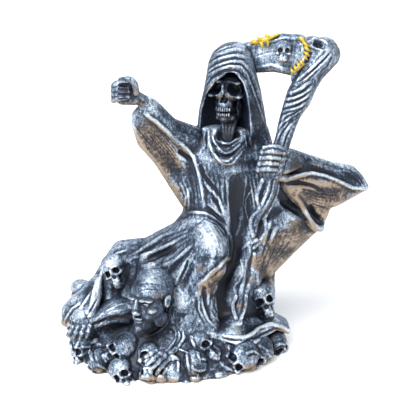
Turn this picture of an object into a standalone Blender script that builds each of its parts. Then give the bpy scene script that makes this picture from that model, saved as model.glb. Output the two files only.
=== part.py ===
"""Hooded skeleton with a scythe on a heap of skulls, a resin figure cast in one piece.

The figure is modelled as a sculptor would: rough clay shapes are pressed together, fused into one
skin, scored with fold lines, and cut off flat under the foot. Metres, +Z up, front towards -Y.
"""

import math

import bmesh
import bpy
import numpy as np
from mathutils import Euler, Matrix, Vector
from mathutils.bvhtree import BVHTree

# Driving sizes, in metres
CROWN_HEIGHT = 0.220  # foot to the crown of the hood; the scythe stands a little higher
BLADE_THICKNESS = 0.0062
SHAFT_RADIUS = 0.0066
PILE_SKULL_WIDTH = 0.0165
SKIN_GRAIN = 0.0012  # finest clay detail that is kept
FACE_LIMIT = 9400  # triangles of the finished skin

# The figure's own unit: places and radii below are percent of that height
PERCENT = CROWN_HEIGHT / 100

# The sculptor's drawing is a square front view of 416 points, taken from a little above
DRAWING_MIDDLE = 208
DRAWING_REACH = 874  # drawing distance in drawing points
EYE_TILT = math.radians(20)
EYE_DISTANCE = 282
EYE_TARGET = Vector((-2.3, 0, 46.8))
EYE_BACK = Vector((0, -math.cos(EYE_TILT), math.sin(EYE_TILT)))
EYE_UP = Vector((0, math.sin(EYE_TILT), math.cos(EYE_TILT)))
EYE = EYE_TARGET + EYE_DISTANCE * EYE_BACK


def sight(u, v):
    """Direction, in the figure's own unit, in which the eye sees drawing point (u, v)."""
    across = (u - DRAWING_MIDDLE) / DRAWING_REACH
    upward = (DRAWING_MIDDLE - v) / DRAWING_REACH
    return Vector((across, 0, 0)) + upward * EYE_UP - EYE_BACK


def spot(u, v, depth):
    """Place in metres of drawing point (u, v) at a depth, in percent, behind the foot's middle."""
    ray = sight(u, v)
    return (EYE + ray * (depth - EYE.y) / ray.y) * PERCENT


def at(x, y, z):
    """Place in metres from percent of the height."""
    return Vector((x, y, z)) * PERCENT


def mesh_of(bm, name):
    mesh = bpy.data.meshes.new(name)
    bm.to_mesh(mesh)
    bm.free()
    return mesh


def add_object(name, data):
    made = bpy.data.objects.new(name, data)
    bpy.context.scene.collection.objects.link(made)
    return made


def baked(made):
    """The evaluated mesh of an object, which is removed."""
    graph = bpy.context.evaluated_depsgraph_get()
    mesh = bpy.data.meshes.new_from_object(made.evaluated_get(graph))
    mesh.transform(made.matrix_world)
    bpy.data.objects.remove(made)
    return mesh


class Clay:
    """Rough closed shapes that overlap and are fused into one skin."""

    def __init__(self):
        self.bm = bmesh.new()
        self.rolls = bpy.data.curves.new("rolls", "CURVE")
        self.rolls.dimensions = "3D"
        self.rolls.bevel_depth = 1.0
        self.rolls.bevel_resolution = 3
        self.rolls.resolution_u = 6
        self.rolls.use_fill_caps = True

    def ball(self, centre, radii, turn=(0, 0, 0)):
        """A ball of one radius, or an egg of three, in percent."""
        radii = [radii] * 3 if isinstance(radii, (int, float)) else radii
        place = Matrix.Translation(centre) @ Euler(map(math.radians, turn)).to_matrix().to_4x4()
        size = Matrix.Diagonal([r * PERCENT for r in radii] + [1])
        bmesh.ops.create_uvsphere(self.bm, u_segments=20, v_segments=12, radius=1, matrix=place @ size)

    def roll(self, path):
        """A round roll of clay through (u, v, depth, radius) points."""
        self.roll_through([(spot(u, v, depth), radius) for u, v, depth, radius in path])

    def roll_through(self, path):
        """A round roll of clay through (place, radius) points, with round ends."""
        spline = self.rolls.splines.new("BEZIER")
        spline.bezier_points.add(len(path) - 1)
        for point, (place, radius) in zip(spline.bezier_points, path, strict=True):
            point.co = place
            point.radius = radius * PERCENT
            point.handle_left_type = point.handle_right_type = "AUTO"
        for place, radius in (path[0], path[-1]):
            self.ball(place, radius * 0.99)

    def hull(self, balls):
        """The tight skin round (u, v, depth, radius) balls."""
        self.hull_round([(spot(u, v, depth), radius) for u, v, depth, radius in balls])

    def hull_round(self, balls):
        """The tight skin round (place, radius) balls."""
        lump = bmesh.new()
        for centre, radius in balls:
            place = Matrix.Translation(centre)
            bmesh.ops.create_icosphere(lump, subdivisions=2, radius=radius * PERCENT, matrix=place)
        made = bmesh.ops.convex_hull(lump, input=lump.verts)
        inner = [e for e in made["geom_interior"] if isinstance(e, bmesh.types.BMVert)]
        bmesh.ops.delete(lump, geom=inner, context="VERTS")
        self.add(mesh_of(lump, "lump"))

    def stack(self, rings, sides=40):
        """A turned mass through level ovals (x, y, z, half width, half depth), bottom to top."""
        lump = bmesh.new()
        loops = []
        for x, y, z, wide, deep in rings:
            oval = Matrix.Translation(at(x, y, z)) @ Matrix.Diagonal((wide * PERCENT, deep * PERCENT, 1, 1))
            made = bmesh.ops.create_circle(lump, segments=sides, radius=1, matrix=oval)
            loops.append(made["verts"])
        for low, high in zip(loops, loops[1:]):
            edges = {e for v in low + high for e in v.link_edges if len(e.link_faces) < 2}
            level = [e for e in edges if (e.verts[0] in low) == (e.verts[1] in low)]
            bmesh.ops.bridge_loops(lump, edges=level)
        for end in (loops[0], loops[-1]):
            bmesh.ops.contextual_create(lump, geom=end)
        bmesh.ops.recalc_face_normals(lump, faces=lump.faces)
        self.add(mesh_of(lump, "lump"))

    def add(self, mesh, place=None):
        """Presses a closed mesh into the clay, moved by a matrix."""
        copy = mesh.copy()
        if place is not None:
            copy.transform(place)
        self.bm.from_mesh(copy)
        bpy.data.meshes.remove(copy)

    def fused(self, name, grain, smoothing):
        """One closed skin round all the clay, as an object."""
        if self.rolls.splines:
            self.add(baked(add_object("rolls", self.rolls)))
        rough = add_object(name, mesh_of(self.bm, name))
        skin = rough.modifiers.new("skin", "REMESH")
        skin.mode = "VOXEL"
        skin.voxel_size = grain
        soft = rough.modifiers.new("soft", "SMOOTH")
        soft.factor = 0.5
        soft.iterations = smoothing
        return add_object(name, baked(rough))


def cut_away(made, tool):
    """The object less a closed tool mesh, as a mesh."""
    cutter = add_object("tool", tool)
    cut = made.modifiers.new("cut", "BOOLEAN")
    cut.operation = "DIFFERENCE"
    cut.object = cutter
    mesh = baked(made)
    bpy.data.objects.remove(cutter)
    return mesh


def eggs(shapes):
    """Overlapping eggs (x, y, z; half width, half depth, half height) as one mesh, in their own unit."""
    bm = bmesh.new()
    for x, y, z, wide, deep, high in shapes:
        place = Matrix.Translation((x, y, z)) @ Matrix.Diagonal((wide, deep, high, 1))
        bmesh.ops.create_uvsphere(bm, u_segments=16, v_segments=10, radius=1, matrix=place)
    return mesh_of(bm, "eggs")


def mirrored(shapes):
    """The same shapes with their left-hand twins."""
    return shapes + [(-x, *rest) for x, *rest in shapes]


# Both heads face -Y. The skull's unit is its width, the man's is his head's height.
SKULL_BONE = [
    (0, 0.1, 0.22, 0.5, 0.6, 0.46),
    (0, -0.26, -0.05, 0.36, 0.22, 0.3),
    (0, -0.36, -0.38, 0.2, 0.2, 0.16),
    (0, -0.34, -0.6, 0.21, 0.2, 0.14),
    *mirrored([(0.34, -0.26, -0.13, 0.12, 0.2, 0.09), (0.27, -0.12, -0.42, 0.08, 0.17, 0.28)]),
]
SKULL_HOLLOWS = [(0, -0.52, -0.2, 0.08, 0.2, 0.11), *mirrored([(0.215, -0.47, 0.0, 0.155, 0.28, 0.15)])]
MAN_HEAD = [
    (0, 0.06, 0.18, 0.33, 0.42, 0.32),
    (0, -0.1, -0.1, 0.27, 0.27, 0.32),
    (0, -0.2, -0.36, 0.15, 0.17, 0.14),
    (0, -0.32, 0.07, 0.23, 0.08, 0.05),
    (0, -0.4, -0.09, 0.045, 0.07, 0.12),
    (0, -0.36, -0.24, 0.09, 0.06, 0.03),
    (0, -0.35, -0.3, 0.08, 0.06, 0.03),
    *mirrored([(0.19, -0.24, -0.09, 0.08, 0.1, 0.06), (0.33, 0.04, -0.03, 0.04, 0.07, 0.11)]),
]
MAN_HOLLOWS = [(0, -0.44, -0.27, 0.08, 0.06, 0.012), *mirrored([(0.12, -0.4, 0.0, 0.085, 0.1, 0.05)])]


def carved(solid, hollows, grain):
    """A mesh fused from eggs, less its hollows."""
    rough = add_object("rough", eggs(solid))
    skin = rough.modifiers.new("skin", "REMESH")
    skin.mode = "VOXEL"
    skin.voxel_size = grain
    return cut_away(rough, eggs(hollows))


def facing(centre, width, turn, nod, roll):
    """Places the small skull: turn about the upright, nod down and roll, in degrees."""
    way = Matrix.Rotation(math.radians(turn), 4, "Z")
    way @= Matrix.Rotation(math.radians(nod), 4, "X")
    way @= Matrix.Rotation(math.radians(roll), 4, "Y")
    return Matrix.Translation(centre) @ way @ Matrix.Diagonal((width, width, width, 1))


FOOT_MIDDLE_X = -13.6
FOOT_HALF = (35.5, 29.5)


def add_foot(clay):
    """The low heap that the figure stands on, sunk a little so that it can be cut off flat."""
    wide, deep = FOOT_HALF
    shares = ((-3, 0.94), (1, 0.98), (5, 0.92), (9, 0.78), (14, 0.52), (18, 0.25))
    clay.stack([(FOOT_MIDDLE_X, 0, z, wide * share, deep * share) for z, share in shares])


def add_robe(clay):
    """The trunk, the lap and knee, and the train that trails over the heap on the left."""
    clay.stack(
        [
            (-6, 3, 2, 28, 20),
            (-5, 3, 12, 24, 17),
            (-3, 3, 24, 20, 14),
            (0, 2, 36, 17, 12),
            (3, 2, 44, 14, 10),
            (4, 1, 52, 13, 8.5),
            (4, 1, 60, 14.5, 9),
            (3.5, 1, 66, 15.5, 9.2),
            (3.5, 1.5, 71, 13.5, 8),
            (4.5, 2, 76, 8.5, 6.5),
        ]
    )
    hip, thigh = (186, 240, 3, 6.2), (192, 232, -3, 5.5)
    train_high, train_turn = (150, 250, 8, 4.8), (122, 251, 12, 4.0)
    train_edge, train_end = (112, 266, 12, 4.0), (101, 288, 12, 4.4)
    clay.hull([hip, thigh, train_high, (165, 268, -2, 5), (190, 300, 14, 8)])
    clay.hull([train_high, train_turn, train_edge, (140, 300, 0, 5), (130, 300, 22, 5)])
    clay.hull([train_turn, train_edge, train_end, (112, 312, 6, 5), (112, 312, 20, 5)])
    knee, shin = (212, 246, -12, 5), (211, 268, -13, 5)
    clay.hull([thigh, (203, 222, -5, 4.5), knee, (178, 262, -6, 5), shin])
    clay.hull([knee, shin, (200, 290, -13, 5), (175, 292, -11, 5), (180, 318, -14, 5)])
    clay.hull([(200, 290, -13, 5), (203, 318, -16, 4), (185, 330, -17, 4), (212, 334, -17, 3)])
    clay.hull([(88, 304, 3, 3.4), (70, 310, 5, 3.2), (67, 322, 5, 2.2), (90, 325, 3, 3)])


def add_cloak(clay):
    """The cloak's right side and the wide left sleeve that the wind carries to the right."""
    wrist, sleeve_far = (288, 160, -3, 4), (345, 173, 1.5, 2.2)
    tip, near_lip = (363, 187, 0, 1.6), (325, 184, -5, 2)
    clay.hull([wrist, (316, 167, 1.5, 2.6), sleeve_far, tip, near_lip, (290, 185, -6, 3)])
    clay.hull([near_lip, tip, (335, 202, -3, 1.7), (300, 203, -3, 3), (290, 185, -6, 3)])
    clay.hull([(300, 203, -3, 3), (326, 208, -3, 1.6), (319, 226, -2, 1.6), (285, 215, -2, 4)])
    clay.hull([(285, 215, -2, 4), (316, 226, -2, 1.7), (303, 229, 0, 2), (262, 240, -2, 4), (288, 252, 2, 1.8)])
    clay.hull([(262, 240, -2, 4), (288, 251, 2, 2), (268, 270, 3, 2.4), (245, 285, -4, 4), (250, 255, 8, 5)])
    clay.hull([(268, 270, 3, 2.4), (267, 300, 4, 3), (245, 285, -4, 4), (255, 300, 14, 5), (235, 320, -6, 5)])
    clay.hull([wrist, (262, 160, 2, 5), (262, 205, 2, 6), (285, 215, 0, 4), (300, 205, 0, 3)])
    clay.hull([(258, 150, -2, 4), (262, 139, 1, 3), (266, 150, 2, 2.4)])


def add_right_arm(clay):
    """The raised arm in its sleeve, which hangs to the waist."""
    shoulder, elbow, wrist = (196, 142, 0, 5), (168, 130, -5, 4.2), (150, 107, -9, 3.0)
    clay.hull([shoulder, elbow, (184, 168, -1, 4)])
    clay.hull([elbow, wrist, (137, 115, -8.5, 1.8), (136, 124, -8, 1.6), (143, 142, -6, 2)])
    clay.hull([elbow, (143, 142, -6, 2), (160, 160, -4, 2.2), (184, 168, -1, 4)])
    clay.hull([(184, 168, -1, 4), (160, 160, -4, 2.2), (178, 178, -2, 2.4), (192, 200, 0, 4)])
    clay.roll([(148, 106, -9, 2.6), (140, 99, -10.5, 2.3), (131, 96, -12, 2.3)])


def add_fist(clay):
    """The raised right fist: palm, four bent fingers and the thumb across them."""
    clay.hull([(134, 98, -12, 2.2), (132, 86, -12.5, 1.9), (122, 99, -13.5, 1.8), (121, 88, -13.5, 1.8)])
    for n in range(4):
        drop = 4.8 * n
        clay.roll([(126, 82 + drop, -15, 1.0), (117, 84 + drop, -15.8, 1.1), (114.5, 86 + drop, -13.5, 1.0)])
    clay.roll([(136, 92, -14, 1.1), (132, 81, -15, 1.1), (121, 80, -14.2, 0.9)])


HOOD_RINGS = (
    (5.5, 1.8, 70.5, 11.0, 9),
    (5.2, 1.5, 75, 10.8, 10),
    (5.1, 0.8, 80, 10.0, 9.8),
    (5.2, 0.8, 85, 8.9, 9.4),
    (5.0, 1.2, 89.5, 7.9, 8.8),
    (4.8, 2.0, 93.6, 7.0, 7.8),
    (5.0, 3.0, 96.6, 5.8, 6.4),
    (5.6, 3.6, 98.6, 3.7, 4.2),
    (6.0, 3.8, 99.4, 1.6, 2.0),
)
HOOD_MOUTH_RINGS = (
    (3.0, -8.5, 64, 7.5, 9.5),
    (2.2, -8.0, 74, 8.6, 10.2),
    (2.2, -8.0, 80, 8.0, 10.0),
    (2.9, -8.2, 85, 6.6, 9.6),
    (3.9, -8.6, 89, 4.4, 9.0),
    (4.6, -9.0, 92, 1.2, 8.4),
)
HEAD_WIDTH = 13.8
HEAD_TURN = -20


def add_head(clay):
    """The hood with its deep opening, the skull in it, and the neck."""
    hood, mouth = Clay(), Clay()
    hood.stack(HOOD_RINGS)
    mouth.stack(HOOD_MOUTH_RINGS)
    shell = hood.fused("hood", SKIN_GRAIN, 2)
    hollow = baked(mouth.fused("mouth", SKIN_GRAIN, 1))
    clay.add(cut_away(shell, hollow))
    clay.add(SKULL, facing(at(4.4, -0.8, 87.2), HEAD_WIDTH * PERCENT, HEAD_TURN, 2, 0))
    clay.roll([(231, 108, 0, 3.2), (229, 126, -3, 2.6), (228, 150, -5, 3.2)])


def add_cowl(clay):
    """Three rolls of cloth that hang round the neck."""
    for drop, low, size in ((145.5, -8.4, 0.8), (155, -9.2, 1.0), (166, -9.6, 0.8)):
        rise = drop - 145
        clay.roll(
            [
                (209 - rise / 5, 130, -3.5, size),
                (213 - rise / 6, 130 + (drop - 130) * 0.72, -6.6, size),
                (227, drop, low, size * 1.1),
                (241 + rise / 8, 130 + (drop - 130) * 0.66, -6.8, size * 1.1),
                (251 + rise / 8, 130, -3.0, size),
            ]
        )


def add_left_hand(clay):
    """The bony left hand that grips the shaft from the right."""
    clay.hull([(288, 155, -12, 1.8), (285, 170, -13, 1.6), (297, 162, -6, 2.6)])
    for n in range(4):
        v = 151.5 + 5.8 * n
        lean = 1.4 * n
        clay.roll([(284 - lean, v + 1, -14.6, 1.0), (271 - lean, v, -17.2, 0.95), (261 - lean, v + 0.6, -15.4, 1.0)])
    clay.roll([(287, 152, -13.5, 1.0), (276, 146.5, -16.4, 0.8), (264, 147.5, -16.2, 0.8)])


SHAFT_LINE = (
    (237, 320, -19.5, 0.9),
    (240, 303, -18.6, 1.1),
    (244, 288, -17.8, 1.0),
    (248, 270, -17, 0.8),
    (251, 250, -16.2, 1.1),
    (258, 228, -15.2, 0.9),
    (266, 200, -14.2, 1.25),
    (272, 175, -13.4, 1.0),
    (283, 140, -12, 0.92),
    (290.5, 115, -9.6, 1.1),
    (298.5, 98, -7.6, 1.45),
    (305, 84, -5.6, 1.4),
    (314, 66, -3, 1.6),
    (324, 52, -1.4, 1.6),
)


def add_scythe(clay):
    """The gnarled shaft, the beast's head at its top and the blade that runs into the hood."""
    wood = SHAFT_RADIUS / PERCENT
    clay.roll([(u, v, depth, wood * share) for u, v, depth, share in SHAFT_LINE])
    clay.hull([(306, 80, -5, 3.6), (327, 55, -1, 4.2), (312, 44, -1.5, 2.6), (297, 70, -3.5, 2.4), (303, 47, -2, 2.4)])
    flat = BLADE_THICKNESS / 2 / PERCENT
    heel_low, heel_high = (291, 71, -3, flat), (301, 39, -2, flat)
    mid_low, mid_high = (274, 67.5, -0.5, flat), (282, 38, 0, flat)
    end_low, end_high = (247, 69, 3, flat), (246, 47, 4, flat)
    clay.hull([heel_low, heel_high, mid_low, mid_high])
    clay.hull([mid_low, mid_high, end_low, end_high])


MAN_HEAD_HEIGHT = 20.5
MAN_TURN = -24


def add_sinner(clay):
    """The gaunt man who crawls out of the heap at the front left."""
    clay.add(MAN, facing(spot(150.5, 295, -18), MAN_HEAD_HEIGHT * PERCENT, MAN_TURN, 4, -3))
    clay.hull([(153, 314, -14, 3.6), (168, 334, -14, 6), (178, 330, -15, 4.5), (140, 336, -16, 5)])
    clay.roll([(183, 326, -16, 3.0), (181, 343, -20, 2.4), (168, 356, -24.5, 1.9), (160, 361, -26.5, 1.7)])
    clay.roll([(138, 312, -13, 3.4), (115, 316, -13, 2.9), (97, 321, -13.5, 2.3), (85, 328, -14, 1.8)])
    for n in range(4):
        clay.roll([(164 - 3.4 * n, 358, -27, 0.85), (160 - 3.4 * n, 368, -29.5, 0.85), (158 - 3.2 * n, 376, -29.5, 0.7)])
        clay.roll([(86, 325 + 2.5 * n, -14.5, 0.9), (78, 328 + 3.4 * n, -14.5, 0.85), (74, 335 + 3.4 * n, -14, 0.7)])


def add_hem(clay):
    """The hem that sweeps round the front to the right and curls up at its end."""
    clay.hull([(214, 334, -17, 2.4), (238, 339, -19, 2.0), (228, 322, -10, 5)])
    clay.hull([(238, 339, -19, 2.0), (254, 338, -16, 1.8), (240, 324, -8, 5)])
    clay.hull([(254, 338, -16, 1.8), (265, 329, -12, 1.7), (258, 326, -6, 3), (240, 324, -8, 5)])
    clay.hull([(265, 329, -12, 1.7), (276, 324.5, -9, 1.4), (270, 320, -4, 3), (258, 326, -6, 3)])
    clay.hull([(276, 324.5, -9, 1.4), (288, 331, -7, 1.1), (282, 322, -3, 2), (270, 320, -4, 3)])


# Small skulls of the heap: drawing point, depth, size share, turn, nod and roll
PILE = (
    (111, 270, 0.5, 1.05, -15, -8, 28),
    (116, 349, -20.5, 1.15, -42, -12, -48),
    (127, 371, -26, 1.05, -10, -14, 32),
    (147, 368, -24.5, 1.2, 10, 40, 10),
    (196, 366, -25.5, 1.05, 10, 20, -15),
    (208, 344, -20.5, 1.05, -25, -15, -55),
    (236, 358, -21.5, 1.25, -35, -12, -48),
    (257, 352, -15.5, 1.2, 30, 30, 20),
    (275, 345, -8.5, 1.1, 45, 0, -10),
    (264, 299, -2.5, 1.15, 15, -15, 10),
    (81, 289, 9, 1.1, -120, 0, 0),
    (84, 346, -15, 1.15, -45, 0, -30),
    (172, 373, -26, 1.0, -5, 30, 15),
    (100, 362, -21.5, 0.95, -40, 10, 20),
    (214, 375, -24.5, 0.85, 25, 20, 60),
)
BACK_SKULLS = 10


def add_pile(clay):
    """The small skulls seen from the front, and a ring of them round the back of the foot."""
    for u, v, depth, share, turn, nod, roll in PILE:
        clay.add(SKULL, facing(spot(u, v, depth), PILE_SKULL_WIDTH * share, turn, nod, roll))
    wide, deep = FOOT_HALF
    for n in range(BACK_SKULLS):
        angle = math.radians(2 + 176 * n / (BACK_SKULLS - 1))
        centre = at(FOOT_MIDDLE_X + wide * 0.93 * math.cos(angle), deep * 0.93 * math.sin(angle), 4 + n % 2)
        out = 90 + math.degrees(angle)
        clay.add(SKULL, facing(centre, PILE_SKULL_WIDTH * (1.1 + 0.15 * (n % 3)), out, 20 * (n % 2), 15 * (n % 3 - 1)))


# Fold lines: the drawing points that a line runs through, its width and its height in percent
RIDGES = (
    (((204, 79), (217, 71), (229, 66), (240, 66), (248, 74)), 1.3, 0.8),
    (((205, 71), (218, 62), (230, 57), (240, 56), (247, 61)), 1.3, 0.8),
    (((208, 62), (220, 54), (232, 49), (241, 49)), 1.1, 0.6),
    (((173, 137), (187, 149), (194, 157), (199, 173), (202, 191), (204, 211)), 1.4, 1.1),
    (((204, 182), (215, 194), (220, 200), (222, 208), (225, 218)), 1.2, 0.9),
    (((183, 217), (191, 212), (205, 213), (214, 218), (222, 225)), 1.4, 0.9),
    (((210, 221), (219, 227), (225, 235), (229, 245), (227, 256), (219, 267), (206, 277)), 1.5, 1.0),
    (((172, 231), (160, 237), (148, 245), (136, 253), (125, 259)), 2.0, 1.3),
    (((186, 235), (172, 243), (159, 249), (146, 254), (133, 258), (121, 266)), 2.0, 1.4),
    (((193, 243), (183, 254), (172, 262), (158, 268)), 2.2, 1.2),
    (((197, 224), (206, 234), (214, 246), (212, 262), (203, 275)), 3.0, 1.0),
    (((104, 262), (99, 277), (94, 292)), 1.4, 0.8),
    (((284, 182), (297, 176), (312, 173), (325, 176), (345, 183), (366, 190)), 1.4, 1.0),
    (((294, 196), (301, 203), (306, 214), (313, 224), (320, 229)), 1.6, 1.2),
    (((275, 212), (268, 236), (266, 262)), 1.8, 0.7),
    (((143, 112), (155, 121), (173, 137)), 1.5, 0.8),
)
GROOVES = (
    (((236, 172), (236, 205), (237, 235), (236, 262), (224, 282), (220, 300), (226, 322)), 3.6, -3.4),
    (((246, 185), (248, 215), (243, 245), (236, 268)), 2.4, -2.0),
    (((183, 154), (191, 160)), 1.4, -1.5),
    (((200, 164), (203, 174), (208, 182), (219, 193)), 1.4, -1.1),
    (((212, 197), (218, 206), (221, 212)), 1.2, -0.9),
    (((206, 206), (214, 214), (223, 221)), 1.2, -0.9),
    (((206, 219), (217, 226), (224, 237), (226, 248)), 1.1, -0.8),
    (((176, 248), (164, 253), (153, 258), (140, 263)), 2.2, -1.7),
    (((160, 243), (150, 248), (138, 255)), 1.2, -0.9),
    (((188, 259), (184, 270), (178, 283)), 1.2, -1.1),
    (((302, 166), (324, 170), (352, 181)), 2.2, -2.6),
    (((285, 185), (302, 184), (314, 187), (321, 191)), 1.4, -1.3),
    (((280, 201), (291, 207), (301, 214), (307, 222)), 1.7, -1.7),
    (((306, 208), (313, 217), (319, 222)), 1.3, -1.0),
    (((203, 285), (205, 300), (211, 318)), 1.6, -1.1),
    (((204, 75), (211, 68), (220, 65), (229, 61), (238, 60), (245, 64), (249, 72)), 1.0, -0.8),
    (((207, 67), (217, 58), (226, 54), (237, 51), (244, 52)), 1.0, -0.7),
    (((317, 43), (320, 44)), 1.9, -1.9),
)
BACK_FOLDS = 9
STROKE_STEP = 1.5  # drawing points between the places that a stroke presses


def stroke_places(skin, line):
    """The places on the skin under a drawn line."""
    places = []
    for a, b in zip(line, line[1:]):
        steps = math.ceil(math.dist(a, b) / STROKE_STEP)
        for n in range(steps + 1):
            u, v = (a[0] + (b[0] - a[0]) * n / steps, a[1] + (b[1] - a[1]) * n / steps)
            hit = skin.ray_cast(EYE * PERCENT, sight(u, v).normalized())[0]
            if hit:
                places.append(hit)
    return places


def softened(places):
    """The row of places with its sudden steps smoothed out."""
    row = np.array(places)
    for _ in range(6):
        if len(row) > 2:
            row[1:-1] = (row[:-2] + 2 * row[1:-1] + row[2:]) / 4
    return row


def press(mesh, strokes):
    """Raises or sinks the skin along rows of places, fading to each row's width and ends."""
    count = len(mesh.vertices)
    points, normals = np.empty(count * 3), np.empty(count * 3)
    mesh.vertices.foreach_get("co", points)
    mesh.vertex_normals.foreach_get("vector", normals)
    points, normals = points.reshape(-1, 3), normals.reshape(-1, 3)
    moves = np.zeros(count)
    for places, width, height in strokes:
        if not places:
            continue
        row = softened(places)
        reach = width * PERCENT
        near = np.nonzero(((points > row.min(0) - reach) & (points < row.max(0) + reach)).all(1))[0]
        gap = np.full(len(near), np.inf)
        for place in row:
            gap = np.minimum(gap, ((points[near] - place) ** 2).sum(1))
        moves[near] += np.clip(1 - gap / reach**2, 0, 1) ** 2 * height * PERCENT
    points += normals * moves[:, None]
    mesh.vertices.foreach_set("co", points.ravel())
    mesh.update()


def score_folds(mesh):
    """Fold lines of the front, from the drawing, and upright folds down the back."""
    skin = BVHTree.FromPolygons([v.co for v in mesh.vertices], [p.vertices for p in mesh.polygons])
    strokes = [(stroke_places(skin, line), width, height) for line, width, height in RIDGES + GROOVES]
    for n in range(BACK_FOLDS):
        spread = n / (BACK_FOLDS - 1) - 0.5
        places = []
        for step in range(60):
            fall = step / 59
            origin = at(4 + spread * (20 + 40 * fall) - 10 * fall, 90, 68 - 60 * fall)
            hit = skin.ray_cast(origin, Vector((0, -1, 0)))[0]
            if hit:
                places.append(hit)
        strokes.append((places, 1.9, -1.3))
    press(mesh, strokes)


def largest_skin(mesh):
    """Drops the skins of sealed cavities and crumbs, all but the largest connected one."""
    bm = bmesh.new()
    bm.from_mesh(mesh)
    unseen = set(bm.verts)
    largest = []
    while unseen:
        group = [unseen.pop()]
        for vert in group:
            for edge in vert.link_edges:
                other = edge.other_vert(vert)
                if other in unseen:
                    unseen.remove(other)
                    group.append(other)
        largest = max(largest, group, key=len)
    kept = set(largest)
    bmesh.ops.delete(bm, geom=[v for v in bm.verts if v not in kept], context="VERTS")
    bm.to_mesh(mesh)
    bm.free()


def cut_flat(mesh):
    """Cuts the skin off level under the foot and closes it there."""
    bm = bmesh.new()
    bm.from_mesh(mesh)
    geom = bm.verts[:] + bm.edges[:] + bm.faces[:]
    bmesh.ops.bisect_plane(bm, geom=geom, plane_co=(0, 0, 0), plane_no=(0, 0, 1), clear_inner=True)
    rim = [e for e in bm.edges if e.is_boundary]
    bmesh.ops.holes_fill(bm, edges=rim)
    bmesh.ops.triangulate(bm, faces=bm.faces)
    bm.to_mesh(mesh)
    bm.free()


def centre_on_foot(mesh):
    """Moves the skin so that the origin is under the middle of its box, and gives the move."""
    low, high = np.min([v.co for v in mesh.vertices], 0), np.max([v.co for v in mesh.vertices], 0)
    move = Vector(-(low + high) / 2)
    move.z = 0
    mesh.transform(Matrix.Translation(move))
    return move


def resin():
    """Black resin that is brushed over with silver paint."""
    paint = bpy.data.materials.new("silvered_black_resin")
    paint.use_nodes = True
    shader = paint.node_tree.nodes["Principled BSDF"]
    shader.inputs["Base Color"].default_value = (0.11, 0.125, 0.145, 1)
    shader.inputs["Metallic"].default_value = 0.5
    shader.inputs["Roughness"].default_value = 0.42
    return paint


for old in list(bpy.data.objects):
    bpy.data.objects.remove(old)
SKULL = carved(SKULL_BONE, SKULL_HOLLOWS, 0.06)
MAN = carved(MAN_HEAD, MAN_HOLLOWS, 0.04)


def sculpted():
    """The whole figure in clay, with its folds."""
    clay = Clay()
    for add in (add_foot, add_robe, add_cloak, add_right_arm, add_fist, add_head, add_cowl):
        add(clay)
    for add in (add_left_hand, add_scythe, add_sinner, add_hem, add_pile):
        add(clay)
    rough = clay.fused("rough", SKIN_GRAIN, 1)
    largest_skin(rough.data)
    score_folds(rough.data)
    return rough


def main():
    rough = sculpted()
    thin = rough.modifiers.new("thin", "DECIMATE")
    thin.ratio = FACE_LIMIT / sum(len(face.vertices) - 2 for face in rough.data.polygons)
    mesh = baked(rough)
    cut_flat(mesh)
    largest_skin(mesh)
    centre_on_foot(mesh)
    figure = add_object("santa_muerte_figure", mesh)
    figure.data.materials.append(resin())
    return figure


if __name__ == "__main__":
    main()
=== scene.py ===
"""A cast resin figure of a hooded skeleton with a scythe, dressed for its picture.

Each piece is modelled as a sculptor would: rough shapes are fused to one closed skin, fold lines are
pressed into it, and its raised edges are marked so that the paint can catch them. Metres, +Z up.
"""

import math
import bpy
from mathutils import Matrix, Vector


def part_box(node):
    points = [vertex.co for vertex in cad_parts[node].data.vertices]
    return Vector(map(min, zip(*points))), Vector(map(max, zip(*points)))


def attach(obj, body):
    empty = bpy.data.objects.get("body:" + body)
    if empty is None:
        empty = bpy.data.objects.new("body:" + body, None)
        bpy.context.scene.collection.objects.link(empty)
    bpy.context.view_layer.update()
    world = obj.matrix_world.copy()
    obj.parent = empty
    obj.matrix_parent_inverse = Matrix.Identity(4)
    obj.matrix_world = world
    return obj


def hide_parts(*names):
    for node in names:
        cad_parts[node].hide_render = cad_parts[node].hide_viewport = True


bl_info = {
    "name": "Santa muerte figure",
    "version": (1, 0, 0),
    "blender": (4, 5, 0),
    "location": "View3D > Sidebar > Santa muerte",
    "description": "Models a silvered resin figure with scythe and skulls round its packed solid",
    "category": "Add Mesh",
}

import bmesh
import bpy
import numpy as np
from mathutils import Euler, Matrix, Vector
from mathutils.bvhtree import BVHTree

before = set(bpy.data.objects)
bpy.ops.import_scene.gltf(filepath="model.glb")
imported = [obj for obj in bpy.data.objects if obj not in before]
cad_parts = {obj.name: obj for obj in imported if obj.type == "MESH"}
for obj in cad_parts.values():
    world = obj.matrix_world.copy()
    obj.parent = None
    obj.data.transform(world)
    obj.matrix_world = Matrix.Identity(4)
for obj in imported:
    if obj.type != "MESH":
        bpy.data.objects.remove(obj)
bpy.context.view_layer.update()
NODE = "santa_muerte_figure"
BODY = "root"
LOW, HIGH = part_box(NODE)

# The unit is a percent of the hood's crown height; the scythe reaches a little higher
SCYTHE_TOP = 102.61
PERCENT = (HIGH.z - LOW.z) / SCYTHE_TOP
# Where the sculptor's drawing has its zero, in the frame
ZERO = Vector((0.0044, -0.0024, 0))

# The drawing is a square front view of 416 points, taken from a little above
DRAWING_MIDDLE = 208
DRAWING_REACH = 874
EYE_TILT = math.radians(20)
EYE_DISTANCE = 282
EYE_TARGET = Vector((-2.3, 0, 46.8))
EYE_BACK = Vector((0, -math.cos(EYE_TILT), math.sin(EYE_TILT)))
EYE_UP = Vector((0, math.sin(EYE_TILT), math.cos(EYE_TILT)))
EYE = EYE_TARGET + EYE_DISTANCE * EYE_BACK
MM = 0.001


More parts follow.
